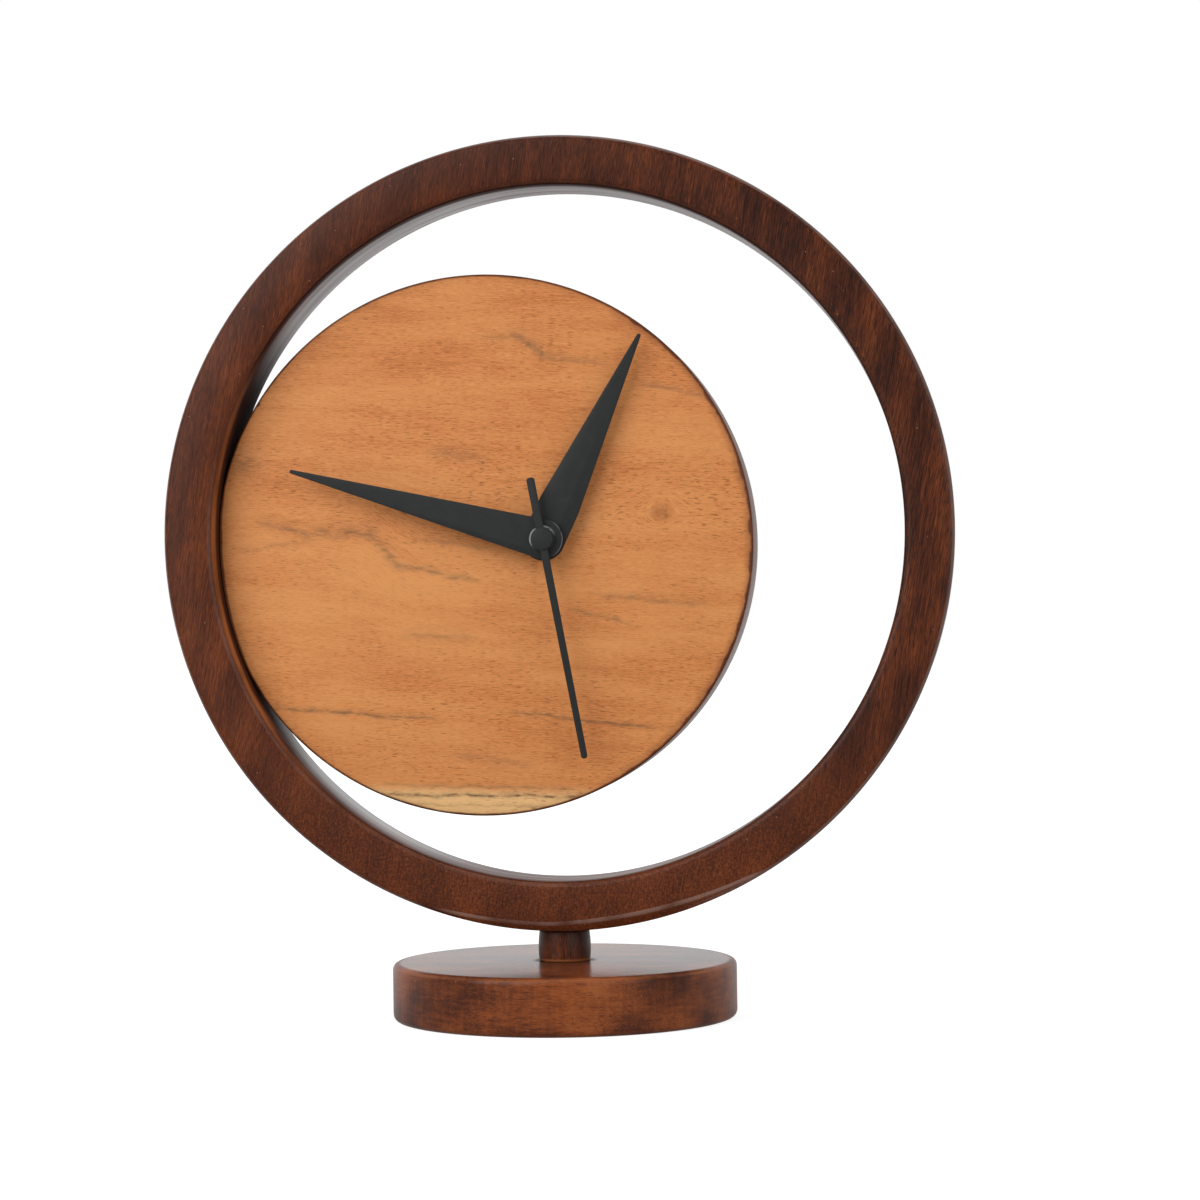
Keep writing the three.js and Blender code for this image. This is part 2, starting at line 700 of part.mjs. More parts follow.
const middleWheel = join(
  wheel(trainTeeth.middle, rotorModule, middleArbor, rotorArbor, middleLayer),
  pinion(pinionLeaves, secondModule, middleArbor, spindle, secondLayer, layerEnd(middleLayer)),
  offsetArbor(middleArbor),
);
add(movement, "intermediate_wheel", middleWheel, wheelYellow, 0.5);

// Motion wheel on the setting arbor, which passes out through the back cover to the knob.
const knobFront = caseDepth + looseGap;
const knobBack = knobFront + knobThickness;
const settingArborEnd = knobBack - knobFace;
const motionWheel = join(
  wheel(motionTeeth.motion, cannonModule, motionArbor, spindle, motionLayer),
  pinion(motionTeeth.pinion, hourModule, motionArbor, spindle, hourLayer, layerEnd(motionLayer)),
  rodAt(motionArbor, settingArborRadius, pivotFront, settingArborEnd),
);
add(movement, "motion_wheel", motionWheel, wheelWhite, 0.5);

// Setting knob with a fluted grip.
const knobPoints = [];
for (let i = 0; i < knobFlutes * 2; i += 1) {
  const radius = knobRadius - (i % 2) * knobFluteDepth;
  knobPoints.push(polar(radius, (i * Math.PI) / knobFlutes));
}
const knobGrip = plate(outline(knobPoints), knobFront, knobBack);
const knobBlank = knobGrip.translate(motionArbor[0], 0, motionArbor[1]);
const knobHoleEnd = settingArborEnd + runningGap;
const knobHole = rodAt(motionArbor, settingArborRadius + runningGap, knobFront - looseGap, knobHoleEnd);
add(movement, "setting_knob", cut(knobBlank, knobHole), caseBlack, 0.5);

// Rotor: a pinion and arbor with a round magnet that steps in the stator.
const magnetFront = (statorFront + statorBack - magnetLength) / 2;
const rotorPinionBack = layerEnd(middleLayer) + pinionSide;
const rotorPinion = join(
  pinion(pinionLeaves, rotorModule, rotorArbor, middleArbor, middleLayer, rotorPinionBack),
  offsetArbor(rotorArbor),
);
add(movement, "rotor_pinion", rotorPinion, wheelWhite, 0.5);
const magnetRing = tube(arborRadius + runningGap, magnetRadius, magnetFront, magnetFront + magnetLength);
add(movement, "rotor_magnet", magnetRing.translate(rotorArbor[0], 0, rotorArbor[1]), magnetGrey, 0.4, 0.7);

// Stator: a thin iron plate round the magnet with two legs up to the coil's core.
const statorHole = magnetRadius + magnetAirGap;
const statorSide = (side) => rotorArbor[0] + side * statorHalfSpan;
const legWidth = 2 * coreHalfWidth;
const statorLow = statorBarTop - statorBar;
const coreLow = coilHeight - coreHalfWidth;
const coreHigh = coilHeight + coreHalfWidth;
const statorLegs = [
  block([statorSide(-1), statorFront, statorLow], [statorSide(-1) + legWidth, statorBack, coreHigh]),
  block([statorSide(1) - legWidth, statorFront, statorLow], [statorSide(1), statorBack, coreHigh]),
];
const statorBridge = block(
  [statorSide(-1), statorFront, statorLow],
  [statorSide(1), statorBack, statorBarTop],
);
const statorEye = rodAt(rotorArbor, statorHole + statorWall, statorFront, statorBack, mediumRound);
const statorBore = rodAt(rotorArbor, statorHole, statorFront - looseGap, statorBack + looseGap);
add(movement, "stator", cut(join(statorBridge, statorEye, ...statorLegs), statorBore), steel, 0.4, 0.8);

// Coil: an iron core on the stator's legs, a spool round it, and the copper winding on the spool.
const coreBack = statorBack + statorThickness;
const coreBar = block([statorSide(-1), statorBack, coreLow], [statorSide(1), coreBack, coreHigh]);
add(movement, "coil_core", coreBar, steel, 0.4, 0.8);

const coilDepth = (statorBack + coreBack) / 2;
const spoolHalf = statorHalfSpan - coilEndRoom;
const windingOuter = coilRadius - bobbinWall;
const windingInner = windingOuter - windingThickness;
const spoolProfile = [
  [0, -spoolHalf],
  [coilRadius, -spoolHalf],
  [coilRadius, -spoolHalf + bobbinFlange],
  [windingInner, -spoolHalf + bobbinFlange],
  [windingInner, spoolHalf - bobbinFlange],
  [coilRadius, spoolHalf - bobbinFlange],
  [coilRadius, spoolHalf],
  [0, spoolHalf],
];
const spool = lying(turned(spoolProfile, smallRound)).translate(rotorArbor[0], coilDepth, coilHeight);
const coreSlot = block(
  [statorSide(-1), statorBack - runningGap, coreLow - runningGap],
  [statorSide(1), coreBack + runningGap, coreHigh + runningGap],
);
add(movement, "coil_bobbin", cut(spool, coreSlot), bobbinCream, 0.6);
const windingEnd = spoolHalf - bobbinFlange - runningGap;
const winding = lying(tube(windingInner + runningGap, windingOuter, -windingEnd, windingEnd));
add(movement, "coil_winding", winding.translate(rotorArbor[0], coilDepth, coilHeight), copper, 0.35, 0.6);

// Circuit board on the back of the bridge, with the chip and the quartz crystal on it.
const boardHalf = contactFace - slipGap;
const boardLow = dividerTop + slipGap;
const boardHigh = boardLow + boardHeight;
const boardHoles = boardPosts.map((place) =>
  rodAt(place, screwHoleRadius, bridgeBack - looseGap, boardBack + looseGap));
const boardBlank = block([-boardHalf, bridgeBack, boardLow], [boardHalf, boardBack, boardHigh]);
add(movement, "circuit_board", cut(boardBlank, ...boardHoles), boardGreen, 0.5);

const partsHeight = (boardLow + boardHigh) / 2;
const chipProfile = [
  [0, boardBack],
  [chipRadius, boardBack],
  [chipTopRadius, boardBack + chipHeight],
  [0, boardBack + chipHeight],
];
add(movement, "clock_chip", turned(chipProfile, smallRound).translate(0, 0, partsHeight), chipBlack, 0.35);
const crystalHalf = crystalLength / 2;
const crystal = lying(rod(crystalRadius, crystalFromMiddle - crystalHalf, crystalFromMiddle + crystalHalf));
crystal.translate(0, boardBack + crystalRadius, partsHeight);
add(movement, "quartz_crystal", crystal, steel, 0.3, 0.9);

// Three small screws hold the bridge, two of them through the board.
bridgePosts.forEach((place, i) => {
  const seat = i < boardPosts.length ? boardBack : bridgeBack;
  const profile = [
    [0, bridgeFront - smallScrewBite],
    [smallScrewRadius, bridgeFront - smallScrewBite],
    [smallScrewRadius, seat],
    [smallScrewHead, seat],
    [smallScrewHead, seat + smallScrewHeadHeight],
    [0, seat + smallScrewHeadHeight],
  ];
  const screw = turned(profile, smallRound).translate(place[0], 0, place[1]);
  add(movement, `bridge_screw_${i + 1}`, screw, steel, 0.35, 0.9);
});

// Round cell, lying across the bay with its nub to the right.
const cellRight = cellHalfReach;
const cellLeft = cellRight - cellLength;
const cellShoulder = cellRight - cellNubLength;
const cellProfile = [
  [0, cellLeft],
  [cellRadius - cellRimEdge, cellLeft],
  [cellRadius, cellLeft + cellRimEdge],
  [cellRadius, cellShoulder - cellRimEdge],
  [cellRadius - cellRimEdge, cellShoulder],
  [cellNubRadius, cellShoulder],
  [cellNubRadius, cellRight],
  [0, cellRight],
];
const cell = lying(turned(cellProfile, mediumRound)).translate(0, cellDepth, cellHeight);
add(movement, "battery_cell", cell, cellGrey, 0.35, 0.4);

// Contact strips at the two ends of the bay, with tails up to the board. The left one has a spring boss.
function contactStrip(inner, side) {
  const outer = inner + side * contactThickness;
  const [left, right] = [Math.min(inner, outer), Math.max(inner, outer)];
  const top = dividerBottom - looseGap;
  const face = block(
    [left, caseWall + looseGap, bayBottom + looseGap],
    [right, caseDepth - coverThickness, top],
  );
  const tail = block([left, tailFront, top - contactTailWidth], [right, tailTop, boardHigh - looseGap]);
  return join(face, tail);
}
add(movement, "positive_contact", contactStrip(contactFace, 1), steel, 0.3, 0.9);
const springSeat = -contactFace;
const springProfile = [
  [0, springSeat - contactThickness / 2],
  [contactSpringRadius, springSeat - contactThickness / 2],
  [contactSpringRadius, springSeat],
  [contactSpringTip, springSeat + contactSpring],
  [0, springSeat + contactSpring],
];
const springBoss = lying(turned(springProfile, smallRound)).translate(0, cellDepth, cellHeight);
add(movement, "negative_contact", join(contactStrip(springSeat, -1), springBoss), steel, 0.3, 0.9);

// Hands. An outline is drawn pointing to twelve and turned clockwise to its angle.
function handOutline(points, angle) {
  const turn = angle * degrees;
  const [c, s] = [Math.cos(turn), Math.sin(turn)];
  return outline(points.map(([x, z]) => [x * c + z * s, z * c - x * s]));
}

function bladePoints({ length, hub, shoulder, shoulderHalf, tipHalf }) {
  return [
    [shoulderHalf, shoulder],
    ...arc(0, length - tipHalf, tipHalf, 0, Math.PI, 2 * cornerSteps),
    [-shoulderHalf, shoulder],
    ...arc(0, 0, hub, Math.PI, 2 * Math.PI, mediumRound / 2),
  ];
}

const hourHole = hourPipe + runningGap;
const hourOutline = handOutline(bladePoints(hourHand), hourHand.angle);
const hourPlate = plate(hourOutline, hourHandFront, hourHandBack);
const hourCollarBack = hourHandBack + collarLength;
const hourMiddle = hourHandBack - handThickness / 2;
const hourCollar = rod(hourHole + collarWall, hourMiddle, hourCollarBack, mediumRound);
const hourBoreTool = rod(hourHole, hourHandFront - looseGap, hourCollarBack + looseGap, mediumRound);
add(movement, "hour_hand", cut(join(hourPlate, hourCollar), hourBoreTool), handBlack, 0.55);

const minuteHole = minutePipe + runningGap;
const minuteOutline = handOutline(bladePoints(minuteHand), minuteHand.angle);
const minutePlate = plate(minuteOutline, minuteHandFront, minuteHandBack);
const minuteCollarBack = minuteHandBack + collarLength;
const minuteMiddle = minuteHandBack - handThickness / 2;
const minuteCollar = rod(minuteHole + collarWall, minuteMiddle, minuteCollarBack);
const minuteBoss = rod(minuteBossRadius, minuteBossFront, minuteMiddle, mediumRound);
const minuteBoreTool = rod(minuteHole, minuteBossFront - looseGap, minuteCollarBack + looseGap);
const minuteBlank = join(minutePlate, minuteCollar, minuteBoss);
add(movement, "minute_hand", cut(minuteBlank, minuteBoreTool), handBlack, 0.55);

const { half, tail, length } = secondHand;
const needlePoints = [
  ...arc(0, length - half, half, 0, Math.PI, 2 * cornerSteps),
  ...arc(0, half - tail, half, Math.PI, 2 * Math.PI, 2 * cornerSteps),
];
const needleBack = secondHubBack - (secondHubHeight - handThickness) / 2;
const needle = plate(handOutline(needlePoints, secondHand.angle), needleBack - handThickness, needleBack);
const secondHub = rod(secondHand.hub, secondHubFront, secondHubBack, mediumRound);
const secondHole = rod(
  secondArborRadius + runningGap,
  secondArborFront - runningGap,
  secondHubBack + looseGap,
);
add(movement, "second_hand", cut(join(secondHub, needle), secondHole), handBlack, 0.55);

export default model;
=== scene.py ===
# %% [markdown]
# # A table clock with an off-centre wooden dial
# The clock is a dark lacquered hoop on a round foot. A pale wooden disc leans on the hoop's inner wall and
# carries three black hands and, at the back, a small quartz movement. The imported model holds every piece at
# its real size, so this lesson only dresses it: it models the wood, the hands and the shells more finely
# and gives each surface a finish made of nodes. Lengths are in metres, as in the frame.

# %% Load the frame
import json
from math import cos, pi, radians, sin, sqrt

import bmesh
import bpy
from mathutils import Matrix, Vector

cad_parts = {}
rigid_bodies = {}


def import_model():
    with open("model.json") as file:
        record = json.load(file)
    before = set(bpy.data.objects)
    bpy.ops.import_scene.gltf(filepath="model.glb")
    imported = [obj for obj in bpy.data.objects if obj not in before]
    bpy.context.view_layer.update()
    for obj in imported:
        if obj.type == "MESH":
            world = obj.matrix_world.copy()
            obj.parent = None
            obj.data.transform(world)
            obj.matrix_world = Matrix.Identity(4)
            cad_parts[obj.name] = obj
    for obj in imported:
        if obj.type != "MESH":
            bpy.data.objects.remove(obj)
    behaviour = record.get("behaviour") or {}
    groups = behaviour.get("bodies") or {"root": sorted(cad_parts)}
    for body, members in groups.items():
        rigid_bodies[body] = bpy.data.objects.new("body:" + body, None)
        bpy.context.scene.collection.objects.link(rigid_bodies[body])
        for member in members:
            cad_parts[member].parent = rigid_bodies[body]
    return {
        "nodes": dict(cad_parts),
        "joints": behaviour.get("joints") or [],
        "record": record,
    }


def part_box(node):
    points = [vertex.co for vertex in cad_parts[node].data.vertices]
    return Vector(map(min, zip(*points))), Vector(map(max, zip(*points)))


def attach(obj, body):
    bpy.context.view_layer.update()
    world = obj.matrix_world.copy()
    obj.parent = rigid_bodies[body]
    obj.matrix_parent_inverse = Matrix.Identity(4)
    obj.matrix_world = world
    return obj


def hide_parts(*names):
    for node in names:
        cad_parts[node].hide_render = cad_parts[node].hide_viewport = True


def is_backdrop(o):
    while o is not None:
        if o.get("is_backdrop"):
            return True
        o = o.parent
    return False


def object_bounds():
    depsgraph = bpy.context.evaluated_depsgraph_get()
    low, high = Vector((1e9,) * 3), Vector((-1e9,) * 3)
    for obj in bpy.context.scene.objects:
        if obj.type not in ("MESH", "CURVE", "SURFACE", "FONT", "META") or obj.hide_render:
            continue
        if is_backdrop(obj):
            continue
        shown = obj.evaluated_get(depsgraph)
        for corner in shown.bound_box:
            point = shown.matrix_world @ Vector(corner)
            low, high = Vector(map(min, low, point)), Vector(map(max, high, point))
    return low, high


for leftover in list(bpy.data.objects):
    bpy.data.objects.remove(leftover)
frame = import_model()
cad_low, cad_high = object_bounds()
scene = bpy.context.scene
scene.view_settings.view_transform = "Standard"
MM = 0.001


def in_mm(*lengths):
    """Lengths in millimetres, rounded for printing."""
    return [round(length / MM, 2) for length in lengths]


print("CAD box in mm:", in_mm(*(cad_high - cad_low)))

# %% [markdown]
# ## Camera
# The photograph was taken from about a metre away, right of the hoop's middle and a little lower, so the
# hoop's left inner wall shows and the foot's top is a flat oval. Place and turns were found by laying the
# model's outline over the picture's, which is surer than trying by eye.

# %% Camera
camera_place = Vector((124.0, -1029.9, 126.3)) * MM
camera_yaw = 0.1076
camera_pitch = 0.0055
camera_roll = 0.0137
focal_pixels = 3267.3
image_pixels = 1200
film_width = 36.0

camera_data = bpy.data.cameras.new("photo_camera")
camera_data.sensor_width = film_width
camera_data.lens = film_width * focal_pixels / image_pixels
camera = bpy.data.objects.new("photo_camera", camera_data)
scene.collection.objects.link(camera)
camera.matrix_world = (
    Matrix.Translation(camera_place)
    @ Matrix.Rotation(camera_yaw, 4, "Z")
    @ Matrix.Rotation(pi / 2 + camera_pitch, 4, "X")
    @ Matrix.Rotation(-camera_roll, 4, "Z")
)
scene.camera = camera
print("Lens in mm:", round(camera_data.lens, 2))

# %% [markdown]
# ## Wires between nodes
# Every finish below is a net of shader nodes. Adding each Math node by hand would hide the idea behind the
# wiring, so a small class stands for one wire, and plain arithmetic on wires adds the nodes.

# %% Wires
def plug(value, entry):
    """Puts a wire, a number or a colour into a node's socket."""
    if isinstance(value, Wire):
        value.tree.links.new(value.socket, entry)
    else:
        entry.default_value = value


class Wire:
    """A value running between nodes. Arithmetic on it adds Math nodes to its tree."""

    def __init__(self, tree, socket):
        self.tree = tree
        self.socket = socket

    def math(self, operation, *others):
        made = self.tree.nodes.new("ShaderNodeMath")
        made.operation = operation
        for entry, value in zip(made.inputs, (self, *others)):
            plug(value, entry)
        return Wire(self.tree, made.outputs[0])

    def __add__(self, other):
        return self.math("ADD", other)

    def __sub__(self, other):
        return self.math("SUBTRACT", other)

    def __mul__(self, other):
        return self.math("MULTIPLY", other)

    def __truediv__(self, other):
        return self.math("DIVIDE", other)

    def __rsub__(self, other):
        return self * -1 + other

    def __abs__(self):
        return self.math("ABSOLUTE")


print("Wires are ready")


# %% Node helpers
def dress(made, inputs):
    """Fills a node's sockets by name or by number."""
    for entry, value in inputs.items():
        plug(value, made.inputs[entry])


def add_node(tree, kind, inputs, output=0, **settings):
    """Adds one shader node, fills its sockets and returns the wire from its output."""
    made = tree.nodes.new("ShaderNode" + kind)
    for name, value in settings.items():
        setattr(made, name, value)
    dress(made, inputs)
    return Wire(tree, made.outputs[output])


def split(vector):
    made = vector.tree.nodes.new("ShaderNodeSeparateXYZ")
    plug(vector, made.inputs[0])
    return [Wire(vector.tree, socket) for socket in made.outputs]


def join(x, y, z):
    return add_node(x.tree, "CombineXYZ", {"X": x, "Y": y, "Z": z})


def noise(vector, scale=1.0, detail=2.0, roughness=0.5):
    inputs = {"Vector": vector, "Scale": scale, "Detail": detail, "Roughness": roughness}
    return add_node(vector.tree, "TexNoise", inputs)


def soft_step(value, low, high):
    """0 at low, 1 at high and a smooth slope between. With low above high it falls instead."""
    inputs = {"Value": value, "From Min": low, "From Max": high}
    return add_node(value.tree, "MapRange", inputs, interpolation_type="SMOOTHSTEP")


def slope(value, low, high):
    """A soft step between two lengths in millimetres."""
    return soft_step(value, low * MM, high * MM)


def piece_place(tree, centre=(0, 0, 0), turn=0.0):
    """Object coordinates measured from a centre, with X turned up by an angle in the clock's face."""
    made = tree.nodes.new("ShaderNodeTexCoord")
    coordinates = Wire(tree, made.outputs["Object"])
    inputs = {"Vector": coordinates, "Location": centre, "Rotation": (0, -turn, 0)}
    return add_node(tree, "Mapping", inputs, vector_type="TEXTURE")


def new_material(name):
    """A fresh material: itself, its node tree and its shader."""
    material = bpy.data.materials.new(name)
    material.use_nodes = True
    return material, material.node_tree, material.node_tree.nodes["Principled BSDF"]


print("Node helpers are ready")

# %% [markdown]
# ## Studio
# The picture has a pure white ground and soft light from the upper left. Lamps strong enough to whiten the
# ground would wash out the clock, so the ground is white by itself. The world shows white to the camera. To
# glossy surfaces it is white behind the clock and dim in front, as in a studio, so the lacquer mirrors
# white at grazing angles and keeps its deep colour face on. Three soft lamps light the clock. The floor
# glows white, a little less near the clock, where the lamps add to it and leave a faint shadow.

# %% World
diffuse_level = 0.46
front_level = 0.06


def ray_kinds(tree):
    """Two wires: 1 for rays from the camera, and 1 for rays that a surface mirrors or lets through."""
    made = tree.nodes.new("ShaderNodeLightPath")
    kinds = ("Is Camera Ray", "Is Glossy Ray", "Is Transmission Ray")
    seen, glossy, passed = (Wire(tree, made.outputs[kind]) for kind in kinds)
    return seen, glossy + passed


def mirror_level(towards_back):
    """What glossy surfaces see of the white ground: little in front of the clock and all of it behind."""
    return soft_step(towards_back, -0.3, 0.35) * (1 - front_level) + front_level


world = bpy.data.worlds.new("studio")
scene.world = world
world.use_nodes = True
sky = world.node_tree
seen, mirrored = ray_kinds(sky)
direction = sky.nodes.new("ShaderNodeTexCoord")
towards_back = split(Wire(sky, direction.outputs["Generated"]))[1]
level = (1 - seen - mirrored) * diffuse_level + seen + mirrored * mirror_level(towards_back)
dress(sky.nodes["Background"], {"Strength": level, "Color": (1, 1, 1, 1)})
print("World lights matt surfaces at level", diffuse_level)


# %% Lamps
def soft_lamp(name, place, power, size):
    """A square area lamp that looks at the middle of the clock."""
    data = bpy.data.lights.new(name, "AREA")
    data.energy = power
    data.size = size
    lamp = bpy.data.objects.new(name, data)
    scene.collection.objects.link(lamp)
    lamp.location = place
    middle_of_clock = (cad_low + cad_high) / 2
    lamp.rotation_euler = (middle_of_clock - Vector(place)).to_track_quat("-Z", "Y").to_euler()
    print(name, "has", power, "W")


soft_lamp("key_lamp", (-0.95, -1.3, 0.9), power=20.5, size=1.5)
soft_lamp("fill_lamp", (1.2, -1.3, 0.3), power=12.0, size=1.6)
soft_lamp("top_lamp", (0.1, 0.2, 1.6), power=5.0, size=1.0)

# %% Floor
floor_width = 16.0
floor_drop = 0.05 * MM
floor_grey = (0.38, 0.38, 0.38, 1)
near_glow = 0.84
near_reach = 0.2
far_glow = 1.0
far_reach = 0.8
bpy.ops.object.select_all(action="DESELECT")
bpy.ops.mesh.primitive_plane_add(size=floor_width, location=(0, 0, -floor_drop))
floor = bpy.context.object
floor.name = "floor"
floor_paint, tree, shader = new_material("floor_white")
seen, mirrored = ray_kinds(tree)
place = piece_place(tree)
from_clock = add_node(tree, "VectorMath", {0: place}, "Value", operation="LENGTH")
glow = soft_step(from_clock, near_reach, far_reach) * (far_glow - near_glow) + near_glow
dress(shader, {
    "Base Color": floor_grey,
    "Roughness": 0.9,
    "Specular IOR Level": 0.0,
    "Emission Color": (1, 1, 1, 1),
    "Emission Strength": (seen + mirrored * mirror_level(split(place)[1])) * glow,
})
floor.data.materials.append(floor_paint)
floor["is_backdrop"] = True
print("Floor glows from", near_glow, "to", far_glow)

# %% [markdown]
# ## Modelling helpers
# The pieces are modelled with operators, as by hand: add a primitive, shape it in edit mode, finish it with
# modifiers. A script has no mouse to click with, so these helpers select by place. They also write an
# object's place into its mesh and cut one piece with another.

# %% Selecting
tiny = 0.01 * MM


def deselect():
    bpy.ops.object.select_all(action="DESELECT")


def take(piece):
    """Makes a piece the only selected and active object."""
    deselect()
    piece.select_set(True)
    bpy.context.view_layer.objects.active = piece


def settle(name):
    """Writes the active object's place into its mesh and names it."""
    bpy.ops.object.transform_apply(location=True, rotation=True, scale=True)
    piece = bpy.context.object
    piece.name = name
    piece.data.name = name
    return piece


def edit(piece):
    take(piece)
    bpy.ops.object.mode_set(mode="EDIT")


def leave():
    bpy.ops.object.mode_set(mode="OBJECT")


def middle(item):
    """The place of a vertex, or the middle of an edge or a face."""
    if isinstance(item, bmesh.types.BMVert):
        return item.co
    return sum((corner.co for corner in item.verts), Vector()) / len(item.verts)


def pick(piece, kind, test):
    """Selects the vertices, edges or faces of a piece in edit mode whose middle passes a test."""
    bpy.ops.mesh.select_mode(type=kind)
    bpy.ops.mesh.select_all(action="DESELECT")
    mesh = bmesh.from_edit_mesh(piece.data)
    items = {"VERT": mesh.verts, "EDGE": mesh.edges, "FACE": mesh.faces}[kind]
    for item in items:
        if test(middle(item)):
            item.select_set(True)
    bmesh.update_edit_mesh(piece.data)


def pick_all():
    bpy.ops.mesh.select_all(action="SELECT")


def close_up():
    """Merges doubled corners and turns all faces outwards, in edit mode."""
    pick_all()
    bpy.ops.mesh.remove_doubles(threshold=tiny)
    bpy.ops.mesh.normals_make_consistent(inside=False)


print("Corners this close in mm are merged:", in_mm(tiny))


# %% Cutting and handing over
def round_bar(name, start, end, radius, sides=64):
    """A cylinder from one point to another, as the start of a piece or as a cutter."""
    start = Vector(start)
    end = Vector(end)
    run = end - start
    deselect()
    bpy.ops.mesh.primitive_cylinder_add(
        vertices=sides,
        radius=radius,
        depth=run.length,
        location=(start + end) / 2,
        rotation=run.to_track_quat("Z", "Y").to_euler(),
    )
    return settle(name)


def apply(piece, modifier):
    take(piece)
    bpy.ops.object.modifier_apply(modifier=modifier.name)


def carve(piece, cutter, operation="DIFFERENCE"):
    """Cuts a piece with another, joins them or keeps what they share, and removes the cutter."""
    modifier = piece.modifiers.new("carve", "BOOLEAN")
    modifier.operation = operation
    modifier.solver = "EXACT"
    modifier.object = cutter
    apply(piece, modifier)
    bpy.data.objects.remove(cutter)


def bore(piece, start, end, radius, sides=64):
    """Cuts a round hole from one point to another."""
    carve(piece, round_bar("bore", start, end, radius, sides))


def hand_over(piece, body, nodes, material, smooth=35):
    """Finishes a piece: material, smooth shading, the body it rides on and the nodes it stands for."""
    piece.data.materials.clear()
    piece.data.materials.append(material)
    take(piece)
    bpy.ops.object.shade_smooth_by_angle(angle=radians(smooth))
    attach(piece, body)
    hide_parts(*nodes)
    print(piece.name, "has", len(piece.data.polygons), "faces")


print("Modelling helpers are ready")

# %% [markdown]
# ## Figure of wood
# Both woods are planks: long fine fibres, wider bands, short dark pores, a cloudy mottle and a fine grit.
# One group gives these as values along a plank whose length is X, so each material only sets the scale,
# turns the plank and chooses colours. A picture of wood would lie on the surface and repeat, while noise
# stretched along X runs through the solid.

# %% Figure of wood
def new_group(name, entries, exits):
    """A node group with named inputs and outputs: the group, its input wires and its output sockets."""
    group = bpy.data.node_groups.new(name, "ShaderNodeTree")
    kinds = {"Vector": "NodeSocketVector", "Colour": "NodeSocketColor"}
    for label in entries:
        kind = kinds.get(label, "NodeSocketFloat")
        group.interface.new_socket(label, in_out="INPUT", socket_type=kind)
    for label in exits:
        kind = kinds.get(label, "NodeSocketFloat")
        group.interface.new_socket(label, in_out="OUTPUT", socket_type=kind)
    inside = group.nodes.new("NodeGroupInput")
    outside = group.nodes.new("NodeGroupOutput")
    wires = [Wire(group, inside.outputs[label]) for label in entries]
    return group, wires, outside.inputs


plank_figure, given, put = new_group(
    "plank_figure",
    ["Vector", "Fibre Length", "Fibre Width", "Wander"],
    ["Fibre", "Band", "Pores", "Mottle", "Grit"],
)
vector, fibre_length, fibre_width, wander = given
along, depth, across = split(vector)
drift = noise(join(along * 11, depth * 24, across * 26), detail=2) - 0.5
across = across + drift * wander
run_length = along / fibre_length
width_depth = depth / fibre_width
width_across = across / fibre_width
plug(noise(join(run_length, width_depth, width_across), detail=4, roughness=0.65), put["Fibre"])
band_place = join(run_length * 0.16, width_depth * 0.07, width_across * 0.07)
plug(noise(band_place, detail=3, roughness=0.55), put["Band"])
pore_place = join(run_length * 3.0, width_depth * 1.2, width_across * 1.2)
plug(soft_step(noise(pore_place, detail=1), 0.58, 0.69), put["Pores"])
grit_place = join(run_length * 4, width_depth * 2.2, width_across * 2.2)
plug(noise(grit_place, detail=3, roughness=0.7), put["Grit"])
plug(noise(join(along * 34, depth * 70, across * 70), detail=4, roughness=0.45), put["Mottle"])
print("Group", plank_figure.name, "has", len(plank_figure.nodes), "nodes")

# %% [markdown]
# ## Dark lacquered wood
# Hoop, neck and foot are stained deep brown and lacquered. The stain leaves dark and red-brown streaks
# along the grain, cloudy patches and, under the film, a few pale specks. Where an edge is rubbed the wood
# shows lighter. Some light and shade is painted into the colour as well: highlights on the hoop's edges,
# light from the dial on the wall beside it, and shade in gaps and corners. Shine could be painted into the
# colour, but it would stay put when the view turns. The film is therefore the shader's coat: it mirrors the
# studio softly, while the wood below stays half matt. One group stains the wood for all three, and each
# piece has a function of the place, its skin, for what differs.

# %% Colours and relief
def place_group(tree, group, *values):
    """Places a group in a material, fills its inputs in order and returns the wires from its outputs."""
    made = tree.nodes.new("ShaderNodeGroup")
    made.node_tree = group
    for entry, value in zip(made.inputs, values):
        plug(value, entry)
    return [Wire(tree, socket) for socket in made.outputs]


def tones(value, *stops):
    """A colour ramp. Each stop is a place from 0 to 1 and a linear colour."""
    made = value.tree.nodes.new("ShaderNodeValToRGB")
    elements = made.color_ramp.elements
    for i, (place, colour) in enumerate(stops):
        element = elements[i] if i < len(elements) else elements.new(place)
        element.position = place
        element.color = (*colour, 1.0)
    plug(value, made.inputs[0])
    return Wire(value.tree, made.outputs[0])


def cover(mask, under, over):
    """Lays one colour over another where the mask is 1."""
    made = mask.tree.nodes.new("ShaderNodeMix")
    made.data_type = "RGBA"
    for index, value in ((0, mask), (6, under), (7, over)):
        plug(value if isinstance(value, Wire) else (*value, 1.0), made.inputs[index])
    return Wire(mask.tree, made.outputs[2])


def bump(height, strength, distance):
    inputs = {"Height": height, "Strength": strength, "Distance": distance}
    return add_node(height.tree, "Bump", inputs)


print("Colour helpers are ready")

# %% Stained wood
deep_brown = (0.022, 0.0062, 0.0034)
body_brown = (0.090, 0.0205, 0.0062)
warm_brown = (0.235, 0.0570, 0.0130)
amber_brown = (0.340, 0.0980, 0.0240)
speck_brown = (0.40, 0.21, 0.10)
# The next grey also paints highlights on the hoop's edges, and the brown after it also paints light from the
# dial on the hoop's wall.
scuff_and_highlight_grey = (0.44, 0.30, 0.25)
rubbed_and_bounce_lit_brown = (0.360, 0.120, 0.040)
speck_scale = 190.0

